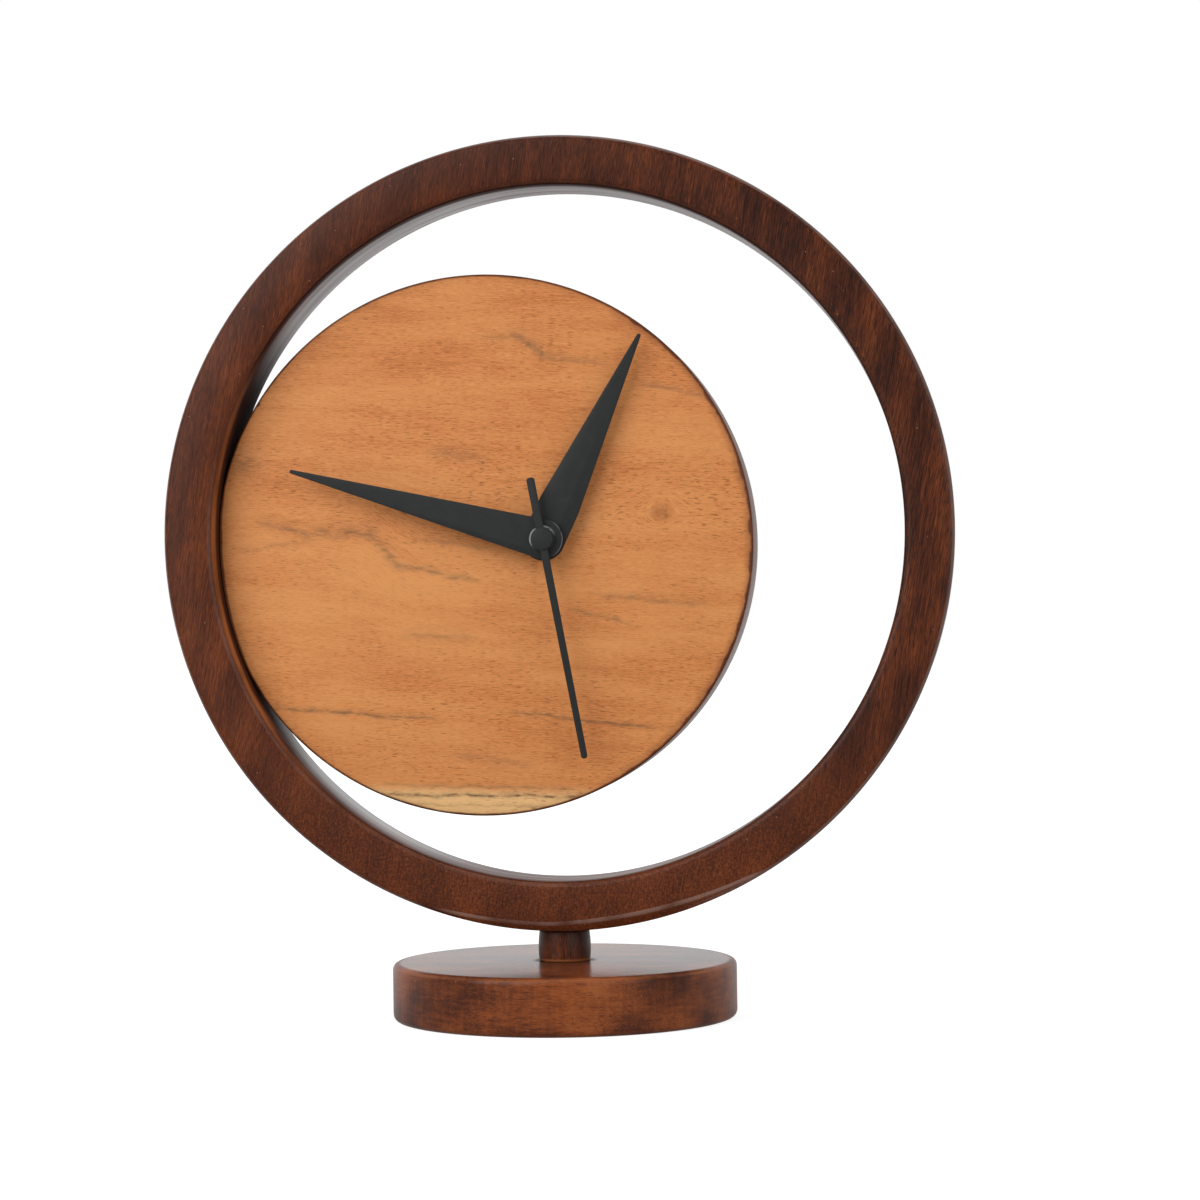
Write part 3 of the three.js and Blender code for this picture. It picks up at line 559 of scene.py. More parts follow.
stained_wood, given, put = new_group(
    "stained_wood",
    ["Vector", "Fibre", "Band", "Pores", "Mottle", "Grit", "Mottling"]
    + ["Lift", "Contrast", "Wear And Bounce Light", "Painted Shade", "Scuff And Highlight"],
    ["Colour", "Roughness", "Relief"],
)
vector, fibre, band, pores, mottle, grit, mottling, lift, contrast, wear_and_bounce_light, painted_shade, scuff_and_highlight = given
grain = (fibre * 0.62 + band * 0.38 - 0.5) * contrast
tone = grain + (mottle - 0.5) * mottling + (grit - 0.5) * 0.6 + lift
colour = tones(tone, (0.28, deep_brown), (0.50, body_brown), (0.76, warm_brown), (1.0, amber_brown))
colour = cover(pores * contrast * 0.75, colour, deep_brown)
specks = add_node(stained_wood, "TexVoronoi", {"Vector": vector, "Scale": speck_scale}, "Distance")
colour = cover(soft_step(specks, 0.055, 0.03) * 0.45, colour, speck_brown)
# Wood rubbed lighter, and painted light from the dial on the hoop's wall.
colour = cover(wear_and_bounce_light * soft_step(mottle, 0.3, 0.55), colour, rubbed_and_bounce_lit_brown)
# Painted shade: gaps and corners are painted dark.
colour = cover(painted_shade * 0.85, colour, deep_brown)
# Film scuffed grey on the hoop's crest, and painted highlights on the hoop's edges.
colour = cover(scuff_and_highlight * soft_step(mottle, 0.25, 0.6), colour, scuff_and_highlight_grey)
plug(colour, put["Colour"])
plug(fibre * 0.2 + painted_shade * 0.4 + 0.38, put["Roughness"])
plug(fibre - pores * 0.5, put["Relief"])
print("Group", stained_wood.name, "has", len(stained_wood.nodes), "nodes")

# %% Dark lacquered wood
dark_wander = 4 * MM


def lacquered_wood(name, centre, turn, fibre_size, mottling, gloss, skin):
    """Stained wood under a clear film. Fibre size is length and width, gloss the film's roughness. Skin is
    given a point and returns wires by name: lift, how light the stain is; contrast, how much the grain
    shows; film, the film's weight; wear_and_bounce_light, where the wood is rubbed lighter and, on the hoop's
    wall, where light from the dial is painted on; painted_shade, where shade is painted dark and the film is
    left off; and scuff_and_highlight, if there is any, where the film is scuffed to a grey line and where
    highlights are painted grey."""
    material, tree, shader = new_material(name)
    place = piece_place(tree, centre, turn)
    here = skin(*split(piece_place(tree)))
    figure = place_group(tree, plank_figure, place, *fibre_size, dark_wander)
    skin_wires = [here.get(label, 0.0) for label in ("lift", "contrast", "wear_and_bounce_light", "painted_shade", "scuff_and_highlight")]
    colour, roughness, relief = place_group(tree, stained_wood, place, *figure, mottling, *skin_wires)
    dress(shader, {
        "Base Color": colour,
        "Roughness": roughness,
        "Specular IOR Level": 0.1,
        "Coat Weight": here["film"] * (1 - here["painted_shade"]),
        "Coat Roughness": gloss,
        "Normal": bump(relief, 0.12, 0.15 * MM),
    })
    return material


print("Tones of the stain, dark to light:", deep_brown, body_brown, warm_brown, amber_brown)

# %% [markdown]
# ## Hoop
# The hoop is a turned ring, 250 mm across, with rounded edges, a slightly crowned face and a narrow facet
# sanded at the bottom of its front edge, where the neck enters. A torus would give a round section, so the
# section is drawn: a plane with bevelled corners and a low arch at its front edge, spun round the hoop's
# axis. Two wide cones trim the facet in two arcs that meet at a blunt corner, and round bars bore the seats
# of the neck and of the two dial pegs.

# %% Hoop
ring_low, ring_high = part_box("ring_frame")
ring_centre = (ring_low + ring_high) / 2
ring_radius = (ring_high.z - ring_low.z) / 2
ring_face = 15.6 * MM
ring_inner = ring_radius - ring_face
ring_depth = ring_high.y - ring_low.y
front_rounding = 2.2 * MM
back_rounding = 1.8 * MM
face_crown = 0.25 * MM
crown_steps = 8
hoop_steps = 256

deselect()
section_middle = ring_centre + Vector((0, face_crown / 2, ring_radius - ring_face / 2))
bpy.ops.mesh.primitive_plane_add(size=1, location=section_middle, rotation=(0, pi / 2, 0))
bpy.context.object.scale = (ring_face, ring_depth - face_crown, 1)
hoop = settle("ring_hoop")
edit(hoop)
crown_foot = ring_low.y + face_crown
pick(hoop, "VERT", lambda p: p.y < crown_foot + tiny)
bpy.ops.mesh.bevel(affect="VERTICES", offset=front_rounding, segments=8, profile=0.5)
pick(hoop, "VERT", lambda p: p.y > ring_high.y - tiny)
bpy.ops.mesh.bevel(affect="VERTICES", offset=back_rounding, segments=5, profile=0.5)
pick_all()
bpy.ops.mesh.delete(type="ONLY_FACE")
pick(hoop, "EDGE", lambda p: p.y < crown_foot + tiny)
bpy.ops.mesh.subdivide(number_cuts=crown_steps - 1)
crown_half = ring_face / 2 - front_rounding
for step in range(1, crown_steps):
    share = 2 * step / crown_steps - 1
    height = section_middle.z + share * crown_half
    pick(hoop, "VERT", lambda p: p.y < crown_foot + tiny and abs(p.z - height) < tiny)
    bpy.ops.transform.translate(value=(0, face_crown * (share * share - 1), 0))
pick_all()
bpy.ops.mesh.spin(steps=hoop_steps, angle=2 * pi, center=ring_centre, axis=(0, 1, 0))
close_up()
leave()
print("Hoop section spun in", hoop_steps, "steps")

# %% Facet of the hoop
facet_rise = 3.1 * MM
facet_bow = 165 * MM
facet_shift = -3 * MM
facet_spread = 5 * MM
facet_slope = 1.8
facet_room = 6 * MM
facet_axes = []
for side in (-1, 1):
    sideways = facet_shift + side * facet_spread
    facet_axis = Vector((sideways, ring_centre.y, ring_low.z + facet_rise + facet_bow))
    facet_axes.append(facet_axis)
    deselect()
    bpy.ops.mesh.primitive_cone_add(
        vertices=512,
        radius1=facet_bow + facet_slope * (ring_depth + facet_room),
        radius2=facet_bow - facet_slope * facet_room,
        depth=ring_depth + 2 * facet_room,
        location=facet_axis,
        rotation=(pi / 2, 0, 0),
    )
    carve(hoop, settle("facet_cone"), "INTERSECT")
print("Facet trimmed, height in mm:", in_mm(facet_rise))

# %% Bores of the hoop
neck_low, neck_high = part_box("neck_dowel")
tenon_radius = 5 * MM
slip_gap = 0.15 * MM
loose_gap = 0.4 * MM
bore(hoop, (0, 0, ring_low.z - loose_gap), (0, 0, neck_high.z + loose_gap), tenon_radius + slip_gap)

# Direction in which the dial leans on the hoop, counted from the right over the top.
lean = radians(187.6)
lean_along = Vector((cos(lean), 0, sin(lean)))
lean_across = Vector((-sin(lean), 0, cos(lean)))
peg_radius = 3 * MM
peg_spread = 15 * MM
peg_reach = 8.4 * MM
peg_low, peg_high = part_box("dial_peg_upper")
peg_wall = sqrt(ring_inner ** 2 - peg_spread ** 2)
peg_depth = Vector((0, (peg_low.y + peg_high.y) / 2, 0))


def bore_pegs(piece):
    """Bores the seats of the two pegs, across the joint of hoop and dial."""
    for side in (-1, 1):
        seat = Vector((0, 0, ring_centre.z)) + peg_depth + lean_across * side * peg_spread
        start = seat + lean_along * (peg_wall - peg_reach)
        end = seat + lean_along * (peg_wall + peg_reach)
        bore(piece, start, end, peg_radius + slip_gap)


bore_pegs(hoop)
print("Seats of the neck and of two pegs bored")

# %% Skin of the hoop
dial_low, dial_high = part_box("dial_disc")
dial_radius = (dial_high.z - dial_low.z) / 2
dial_centre = Vector((dial_high.x - dial_radius, dial_low.y, (dial_low.z + dial_high.z) / 2))
contact = ring_centre + lean_along * ring_inner


def diagonal(a, b):
    return (a * a + b * b).math("SQRT")


def distance_from(x, z, centre):
    """Distance in the clock's face from a point, as a wire."""
    return diagonal(x - centre.x, z - centre.z)


def hoop_skin(x, y, z):
    """Stain, film, scuffs, painted light and shade and painted highlights by the distance from the hoop's
    front, middle and axis and from the dial.
    """
    from_front = y - ring_low.y
    from_middle = z - ring_centre.z
    from_bottom = z - ring_low.z
    from_axis = distance_from(x, z, ring_centre)
    from_contact = distance_from(x, z, contact)
    wall = slope(from_axis - ring_inner, 0.7, 0.2)

    # The stain is a little lighter at the left and at the bottom, where the cut fibres leave it grainy.
    at_bottom = slope(from_bottom, 80, 20)
    cut_fibres = (noise(join(x, y, z), scale=1300.0, detail=3) - 0.5) * at_bottom
    lift = slope(x + from_middle, 90, -60) * 0.08 + 0.44 + cut_fibres * 0.55

    # The grain shows most at the right, less at the left and least at the bottom.
    above_bottom = slope(from_bottom, 20, 90)
    contrast = (slope(x, -70, 90) * 0.5 + 0.5) * above_bottom + 0.2

    # The film is thin on the face and thicker on the rims. On the inner wall it has long brush marks, and
    # it is thickest deep inside at the left, where it ran before it set.
    brush_marks = noise(join(x * 14, y * 500, z * 14), detail=4, roughness=0.6)
    lower_left = slope(from_middle, -20, -65) * slope(x, -20, -60)
    upper_left = slope(from_middle, 30, 70) * slope(x, -10, -40)
    deep_inside = slope(from_front, 5, 20)
    on_wall = soft_step(brush_marks, 0.36, 0.6) * 0.34 - 0.03 + upper_left * 0.2
    on_wall = on_wall + lower_left * (deep_inside * 0.6 + 0.18)
    past_face = slope(from_front - face_crown, 0.1, 0.8)
    film = wall * on_wall + past_face * (1 - wall) * 0.35 + 0.17

    # Painted light: the wall beside the dial is painted lighter, where light from the dial's face falls on
    # it.
    before_dial = slope(y - dial_low.y, 0, -1) * slope(from_front, 0.8, 2)
    wear_and_bounce_light = wall * before_dial * slope(from_contact, 80, 40)

    # Painted shade: the narrow gap between wall and dial is painted dark and left without film, most above
    # the dial's middle, and so is the wall's rim away from the dial, where it mirrors the dim studio in
    # front.
    lower = slope(from_middle, 0, -50)
    gap = distance_from(x, z, dial_centre) - dial_radius + lower * 4 * MM
    behind_rim = slope(from_front, 4, 8)
    in_gap = behind_rim * slope(gap, 9, 3)
    rim = (1 - behind_rim) * slope(from_contact, 50, 80) * (0.85 - lower * 0.5)
    painted_shade = wall * (in_gap + rim)

    # The film is scuffed to a pale line on the facet's crest, where a highlight is painted as well, and
    # highlights are painted on the outer edge at the right and on the inner edge at the left.
    farther = distance_from(x, z, facet_axes[0]).math("MAXIMUM", distance_from(x, z, facet_axes[1]))
    past_crest = farther - facet_bow - from_front * facet_slope
    crest = slope(abs(past_crest), 0.4, 0.05) * slope(from_front, 0.9, 0.5)
    from_edge = ring_radius - from_axis
    outer_edge = slope(abs(from_edge - 0.7 * MM), 0.5, 0.1) * slope(x, 10, 80)
    outer_edge = outer_edge * slope(from_front, 2, 1)
    inner_edge = slope(abs(from_edge - ring_face + 1 * MM), 0.9, 0.2)
    inner_edge = inner_edge * slope(from_front, 2.2, 1.2)
    inner_edge = inner_edge * slope(x + from_middle, -80, -120)
    scuff_and_highlight = crest * 0.38 + outer_edge * 0.2 + inner_edge * 0.08
    return dict(lift=lift, contrast=contrast, film=film, wear_and_bounce_light=wear_and_bounce_light, painted_shade=painted_shade, scuff_and_highlight=scuff_and_highlight)


print("The dial touches the hoop at, in mm:", in_mm(*contact))

# %% Finish of the hoop
hoop_wood = lacquered_wood(
    "hoop_wood",
    centre=ring_centre,
    turn=radians(80),
    fibre_size=(13 * MM, 0.45 * MM),
    mottling=0.34,
    gloss=0.3,
    skin=hoop_skin,
)
hand_over(hoop, "clock_frame", ["ring_frame"], hoop_wood, smooth=25)

# %% [markdown]
# ## Foot
# The foot is a turned disc, 109 mm across and 18 mm thick, with rounded rims. It could be spun from a
# section as the hoop is, but it has plain sides, so a cylinder whose two rims are bevelled by different
# amounts is the shorter way. The seat of the neck is inset and extruded from the top face, and round bars
# bore the screw hole and its sunk head from below.

# %% Foot
foot_low, foot_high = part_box("foot_disc")
foot_radius = (foot_high.x - foot_low.x) / 2
foot_top_rounding = 2.2 * MM
foot_bottom_rounding = 2.4 * MM
foot_fullness = 0.55
screw_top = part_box("foot_screw")[1].z
screw_hole = 2.15 * MM
head_hole = 4.4 * MM
head_floor = 3.2 * MM


def bevel(piece, test, width, segments, profile=0.5):
    """Rounds the edges of a piece in edit mode whose middle passes a test."""
    pick(piece, "EDGE", test)
    bpy.ops.mesh.bevel(offset=width, segments=segments, profile=profile)


def extrude(*move):
    bpy.ops.mesh.extrude_region_move(TRANSFORM_OT_translate={"value": move})


foot = round_bar("foot_turning", (0, 0, foot_low.z), (0, 0, foot_high.z), foot_radius, 256)
edit(foot)
bevel(foot, lambda p: p.z > foot_high.z - tiny, foot_top_rounding, 6, foot_fullness)
bevel(foot, lambda p: p.z < foot_low.z + tiny, foot_bottom_rounding, 6, foot_fullness)
pick(foot, "FACE", lambda p: p.z > foot_high.z - tiny)
bpy.ops.mesh.inset(thickness=foot_radius - foot_top_rounding - tenon_radius - slip_gap)
seat_depth = foot_high.z - neck_low.z + loose_gap
extrude(0, 0, -seat_depth)
leave()
below = (0, 0, -loose_gap)
bore(foot, below, (0, 0, screw_top), screw_hole)
bore(foot, below, (0, 0, head_floor), head_hole)
print("Foot turned, radius in mm:", in_mm(foot_radius))


# %% Finish of the foot
def foot_skin(x, y, z):
    """Stain, film and wear by the distance from the foot's axis, rim and top."""
    from_axis = diagonal(x, y)
    from_rim = foot_radius - from_axis
    from_top = foot_high.z - z

    # The stain is lightest in the middle, with hairlines down the side and short level flecks.
    hairlines = noise(join(x * 700, y * 700, z * 70), detail=2) - 0.5
    flecks = noise(join(x * 130, y * 130, z * 900), detail=3, roughness=0.6) - 0.5
    lift = slope(abs(x), 52, 12) * 0.06 + 0.57 + hairlines * 0.2 + flecks * 0.42

    # The middle shows its grain a little more than the sides.
    contrast = slope(abs(x), 50, 10) * 0.2 + 0.35

    # The film is thickest on the flat top.
    film = slope(from_rim, 1.5, 3) * slope(from_top, 0.3, 0.1) * 0.4 + 0.25

    # The upper rim is rubbed by hands.
    near_top = slope(abs(from_top - 0.8 * MM), 0.7, 0.1)
    wear_and_bounce_light = near_top * slope(from_rim, 2, 1) * 0.35

    # Painted shade: a dark line without film is painted round the foot of the neck.
    painted_shade = slope(from_axis, 11, 8) * slope(from_top, 1, 0) * 0.7
    return dict(lift=lift, contrast=contrast, film=film, wear_and_bounce_light=wear_and_bounce_light, painted_shade=painted_shade)


foot_wood = lacquered_wood(
    "foot_wood",
    centre=(0, 0, foot_low.z),
    turn=0.0,
    fibre_size=(9 * MM, 0.6 * MM),
    mottling=1.1,
    gloss=0.2,
    skin=foot_skin,
)
hand_over(foot, "clock_frame", ["foot_disc"], foot_wood)

# %% [markdown]
# ## Neck
# The neck is a short barrel with a tenon at each end. A bevelled cylinder would miss its belly. It grows
# from one disc instead: the top face is extruded again and again and scaled to the next radius, which is
# how a lathe profile is built by hand. The barrel follows a parabola through its foot, its belly and its
# top.

# %% Profile of the neck
neck_foot_radius = 8.05 * MM
neck_belly_radius = 8.3 * MM
neck_top_radius = 7.8 * MM
neck_edge = 0.4 * MM
belly_height = 3.6 * MM
barrel_steps = 10
neck_length = ring_low.z - foot_high.z
belly_share = belly_height / neck_length


def barrel_radius(share):
    """Radius of the barrel at a share of its height, by the parabola through its three radii."""
    foot_part = neck_foot_radius * (share - belly_share) * (share - 1) / belly_share
    belly_part = neck_belly_radius * share * (share - 1) / (belly_share * (belly_share - 1))
    top_part = neck_top_radius * share * (share - belly_share) / (1 - belly_share)
    return foot_part + belly_part + top_part


stations = [(foot_high.z, tenon_radius), (foot_high.z, barrel_radius(0) - neck_edge)]
for step in range(barrel_steps + 1):
    share = step / barrel_steps
    rise = max(share * neck_length, neck_edge)
    stations.append((foot_high.z + min(rise, neck_length - neck_edge / 2), barrel_radius(share)))
stations.append((ring_low.z, neck_top_radius - neck_edge / 2))
stations.append((ring_low.z, tenon_radius))
stations.append((neck_high.z, tenon_radius))
print("Neck has", len(stations), "stations")

# %% Neck
deselect()
bpy.ops.mesh.primitive_circle_add(
    vertices=128, radius=tenon_radius, fill_type="NGON", location=(0, 0, neck_low.z))
neck = settle("neck_barrel")
edit(neck)
pick_all()
height = neck_low.z
radius = tenon_radius
for next_height, next_radius in stations:
    extrude(0, 0, next_height - height)
    ratio = next_radius / radius
    bpy.ops.transform.resize(value=(ratio, ratio, 1), center_override=(0, 0, next_height))
    height = next_height
    radius = next_radius
close_up()
leave()
bore(neck, (0, 0, neck_low.z - loose_gap), (0, 0, screw_top + loose_gap), screw_hole)
print("Neck turned, length in mm:", in_mm(neck_length))


# %% Finish of the neck
def neck_skin(x, y, z):
    """Towards the hoop the wood is painted darker, as shade under the hoop, the grain shows less and the film
    thins. The lower edge of the barrel is scuffed where it meets the foot, and the corner under the hoop gets
    painted shade."""
    share = (z - foot_high.z) / neck_length
    upwards = soft_step(share, 0.0, 1.0)
    return dict(
        lift=upwards * -0.06 + 0.44,
        contrast=upwards * -0.3 + 1.1,
        film=upwards * -0.1 + 0.3,
        wear_and_bounce_light=(1 - soft_step(share, 0.03, 0.12)) * 0.8,
        painted_shade=soft_step(share, 0.85, 1.0) * 0.7,
    )


neck_wood = lacquered_wood(
    "neck_wood",
    centre=(0, 0, foot_high.z),
    turn=radians(90),
    fibre_size=(7 * MM, 0.5 * MM),
    mottling=0.5,
    gloss=0.3,
    skin=neck_skin,
)
hand_over(neck, "clock_frame", ["neck_dowel"], neck_wood)

# %% [markdown]
# ## Dial plate
# The dial is one thick wooden disc, trimmed where it leans on the hoop, bored for the spindle and pocketed
# at the back for the movement. Its trimmed outline could be drawn and extruded, but it only fits the hoop
# if it is cut by the hoop's own round. So a cylinder with bevelled rims is cut by the hoop's inner round,
# less the glue line, then by a block with rounded corners and by round bars.

# %% Dial plate
dial_back_centre = Vector((dial_centre.x, dial_high.y, dial_centre.z))
dial_rim = 1.0 * MM
glue_gap = 0.3 * MM
dial = round_bar("dial_plate", dial_centre, dial_back_centre, dial_radius, 256)
edit(dial)
bevel(dial, lambda p: min(p.y - dial_low.y, dial_high.y - p.y) < tiny, dial_rim, 4)
leave()
seat_front = (0, dial_low.y - loose_gap, ring_centre.z)
seat_back = (0, dial_high.y + loose_gap, ring_centre.z)
carve(dial, round_bar("seat_round", seat_front, seat_back, ring_inner - glue_gap, 512), "INTERSECT")
print("Dial plate cut, radius in mm:", in_mm(dial_radius))

# %% Pocket and bores of the dial
case_low, case_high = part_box("movement_case")
gasket_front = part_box("rubber_gasket")[0].y
pocket_room = 0.8 * MM
pocket_corner = 3.8 * MM
bushing_hole = 4.4 * MM


def box_block(name, low, high):
    """A box between two corners, as the start of a piece or as a cutter."""
    low = Vector(low)
    high = Vector(high)
    deselect()
    bpy.ops.mesh.primitive_cube_add(size=1, location=(low + high) / 2)
    bpy.context.object.scale = high - low
    return settle(name)


pocket_low = Vector((case_low.x - pocket_room, gasket_front, case_low.z - pocket_room))
pocket_high = Vector((case_high.x + pocket_room, dial_high.y + loose_gap, case_high.z + pocket_room))
pocket = box_block("pocket_block", pocket_low, pocket_high)
pocket_middle = (pocket_low.y + pocket_high.y) / 2
edit(pocket)
bevel(pocket, lambda p: abs(p.y - pocket_middle) < tiny, pocket_corner, 8)
leave()
carve(dial, pocket)

joint = next(item for item in frame["joints"] if item["name"] == "minute_turn")
spindle = Vector(joint["pos_m"])
bore_front = (spindle.x, dial_low.y - loose_gap, spindle.z)
bore_back = (spindle.x, gasket_front + loose_gap, spindle.z)
bore(dial, bore_front, bore_back, bushing_hole)
bore_pegs(dial)
print("Spindle lies at, in mm:", in_mm(spindle.x, spindle.z))

# %% [markdown]
# ## Marks in the dial's wood
# The dial's face has marks of its own: smoky dark streaks along the grain, one long thin line near the
# bottom, a small knot at the right and a swirl near the top. They could be painted as a picture, but then
# the grain could not bend round them. Two groups make them from a few lengths in millimetres. dark_streak
# is a line of fine dashes in a veil of smoke, which wavers a little and fades at its ends. knot_pull bends
# the grain round a knot, as water flows round a pole, and gives the knot's eye.

# %% Dark streaks
dark_streak, given, put = new_group(
    "dark_streak",
    ["Vector", "Start", "End", "First Height", "Last Height", "Half Width"],
    ["Mask"],
)
vector, start, end, first, last, half_width = given
along, depth, across = split(vector)
waver_place = join(along * 0.14, first * 0.37, last * 0.19)
waver = noise(waver_place, detail=1.0) - 0.5
course = soft_step(along, start, end)
height_there = first + (last - first) * course + waver * 2.0
offset = (across - height_there) / half_width
core = soft_step(abs(offset), 2.2, 0.0)
smoke = soft_step(offset, 7.0, 0.0) * soft_step(offset, -5.0, 0.0)
dashes = soft_step(noise(join(along * 0.32, depth, across * 2.6), detail=2, roughness=0.6), 0.34, 0.64)
clouds = soft_step(noise(join(along * 0.2, depth * 0.2, across * 0.7), detail=4, roughness=0.65), 0.36, 0.64)
fade = 8.0
ends = soft_step(along - start, 0.0, fade) * soft_step(end - along, 0.0, fade)
line = core * (dashes * 0.3 + 0.5) * (clouds * 0.26 + 0.3)
plug((line + smoke * (clouds * 0.36 + 0.04)) * ends, put["Mask"])
print("Group", dark_streak.name, "fades over", fade, "mm")

# %% Knots
knot_pull, given, put = new_group(
    "knot_pull",
    ["Vector", "Centre Along", "Centre Across", "Radius"],
    ["Shift", "Eye"],
)
vector, centre_along, centre_across, radius = given
along, depth, across = split(vector)
from_along = along - centre_along
from_across = across - centre_across
reach = from_along * from_along * 0.45 + from_across * from_across
core = radius * radius
plug(from_across * -1 * core / (reach + core * 0.4), put["Shift"])
uneven = noise(join(along * 0.5, depth * 0.5, across * 0.9), detail=3) * 1.4 + 0.3
rings = ((reach / core * uneven).math("SQRT") * 7).math("SINE") * 0.22 + 0.78
plug(soft_step(reach / core * uneven, 1.3, 0.2) * rings, put["Eye"])
print("Group", knot_pull.name, "has", len(knot_pull.nodes), "nodes")

# %% [markdown]
# ## Dial wood
# The face is pale orange wood with almost level grain, satin and not glossy. Left of the middle the grain
# dives down beside a dark streak, and near the lower edge a band of light sapwood shows below another. The
# rim, the side and the back are stained dark like the hoop, and the stain bleeds a little into the rim. Two
# materials would meet in a hard line between faces, so one material holds both, mixed by a mask of the
# distance to the rim.

# %% Places of the marks
# In mm along the grain and across it, from the dial's middle: start, end, first and last height, half
# width. The last number is the streak's strength.
streaks = [
    (-76, -50, 4.6, 1.2, 0.7, 0.75),
    (-58, -31, 2.2, 2.6, 0.8, 0.85),
    (-40, -23, 3.0, -8.8, 1.0, 0.95),
    (-31, 2, -7.6, -11.2, 0.5, 0.8),
    (-84, -50, -5.0, -0.5, 0.5, 0.35),
    (-25, 8, 1.0, -1.2, 0.5, 0.45),
    (-72, -10, -54.6, -55.8, 0.32, 1.0),
    (8, 62, -52.8, -55.8, 0.3, 0.95),
    (-36, 42, -80.4, -78.6, 0.32, 1.25),
    (-32, 36, -77.4, -76.2, 0.3, 0.6),
    (-24, 30, -83.2, -82.0, 0.25, 0.5),
    (-8, 13, 65.4, 66.9, 0.5, 0.5),
    (4, 23, 67.2, 60.0, 0.8, 1.0),
    (13, 40, 60.2, 58.8, 0.5, 0.65),
    (44, 75, 53.0, 49.2, 0.4, 0.6),
    (-22, 4, 29.0, 27.0, 0.9, 0.5),
    (-28, 2, -29.5, -30.0, 0.7, 0.5),
    (32, 75, -14.3, -16.0, 0.5, 0.65),
    (26, 54, -19.6, -23.8, 0.35, 0.6),
    (-10, 22, -67.0, -69.4, 0.8, 0.4),
    (-92, -70, 22.5, 23.5, 1.6, 0.7),
]

# Place along and across in the same way, and radius.
knot = (56.3, 12.5, 3.0)
swirl = (15.0, 62.5, 2.4)
print("Dial wood has", len(streaks), "streaks, a knot and a swirl")

# %% Dial wood
face_light = (0.720, 0.305, 0.100)
face_body = (0.645, 0.242, 0.074)
face_dark = (0.500, 0.155, 0.043)
pore_brown = (0.230, 0.070, 0.022)
smoke_brown = (0.165, 0.088, 0.045)
sapwood = (0.860, 0.545, 0.245)
dial_turn = radians(-3)
dial_fibre = (9 * MM, 0.42 * MM)
dial_wander = 8 * MM

dial_wood, tree, shader = new_material("dial_wood")
place = piece_place(tree, dial_centre, dial_turn)
plank_mm = add_node(tree, "VectorMath", {0: place, 1: (1 / MM, 1 / MM, 1 / MM)}, operation="MULTIPLY")
along, depth, across = split(plank_mm)
knot_shift, knot_eye = place_group(tree, knot_pull, plank_mm, *knot)
swirl_shift = place_group(tree, knot_pull, plank_mm, *swirl)[0]
dive = soft_step(along, -44.0, -16.0) * soft_step(abs(across + 3.0), 40.0, 2.0) * 8.0
bent_across = across + knot_shift + swirl_shift + dive
bent = join(along, depth, bent_across)
in_metres = add_node(tree, "VectorMath", {0: bent, 1: (MM, MM, MM)}, operation="MULTIPLY")
fibre, band, pores, mottle, grit = place_group(tree, plank_figure, in_metres, *dial_fibre, dial_wander)
broad_place = join(along * 0.012, depth * 0.012, across * 0.05 + along * 0.006)
broad = noise(broad_place, detail=2) - 0.5
tone = (fibre - 0.5) * 0.75 + (band - 0.5) * 0.55 + (mottle - 0.5) * 0.3
tone = tone + (grit - 0.5) * 1.2 + broad * 0.6 - soft_step(across, 10.0, 60.0) * 0.09 + 0.56
colour = tones(tone, (0.24, face_dark), (0.5, face_body), (0.74, face_light))
ragged = (band - 0.5) * 3 + (fibre - 0.5) * 5
below_streak = soft_step(across - along * 0.03 + ragged, -75.5, -80.5)
colour = cover(below_streak * 0.85, colour, sapwood)
flecks = pores * (soft_step(broad + mottle, 0.62, 0.4) * 0.42 + 0.16)
colour = cover(flecks, colour, pore_brown)
long_pores = soft_step(noise(join(along * 0.34, depth, bent_across * 2.4), detail=1), 0.67, 0.73)
colour = cover(long_pores * 0.5, colour, pore_brown)
colour = cover(knot_eye * 0.45, colour, pore_brown)
broken = fibre * 0.8 + 0.6
for *run, strength in streaks:
    [mark] = place_group(tree, dark_streak, plank_mm, *run)
    colour = cover(mark * broken * strength, colour, smoke_brown)
print("Dial wood has", len(tree.nodes), "nodes")

# %% Stained rim of the dial
scorch_brown = (0.200, 0.062, 0.022)
stain_brown = (0.040, 0.0115, 0.0055)
nicks = (Vector((-72.2, 0, 46.3)) * MM, Vector((-80.5, 0, 30.3)) * MM)
own_place = piece_place(tree)
x, y, z = split(own_place)
past_rim = distance_from(x, z, dial_centre) - dial_radius
past_seat = distance_from(x, z, ring_centre) - (ring_inner - glue_gap)
bleed = noise(own_place, scale=130.0, detail=4) - 0.5
nearest = past_rim.math("MAXIMUM", past_seat) + bleed * 0.7 * MM
at_right = slope(x - dial_centre.x, 20, 70)
rim_stain = slope(nearest + at_right * abs(bleed) * 4 * MM, -1.1, -0.3)
side_stain = slope(y - dial_low.y + bleed * 0.5 * MM, 0.35, 0.7)
stain = rim_stain.math("MAXIMUM", side_stain)
for nick in nicks:
    from_nick = distance_from(x, z, dial_centre + nick) + bleed * 1.2 * MM
    stain = stain.math("MAXIMUM", slope(from_nick, 1.1, 0.4))
scorch = slope(nearest + bleed * 3 * MM, -3.4, -0.5) * (at_right * 0.4 + 0.15)
scorched = cover(scorch, colour, scorch_brown)
stain_tone = fibre * 0.5 + band * 0.3 + mottle * 0.2
stained = tones(stain_tone, (0.32, stain_brown), (0.7, warm_brown))
dress(shader, {
    "Base Color": cover(stain, scorched, stained),
    "Roughness": fibre * 0.16 + 0.45,
    "Specular IOR Level": 0.2,
    "Coat Weight": stain * 0.15,
    "Coat Roughness": 0.25,
    "Normal": bump(fibre - pores * 0.8, 0.16, 0.15 * MM),
})
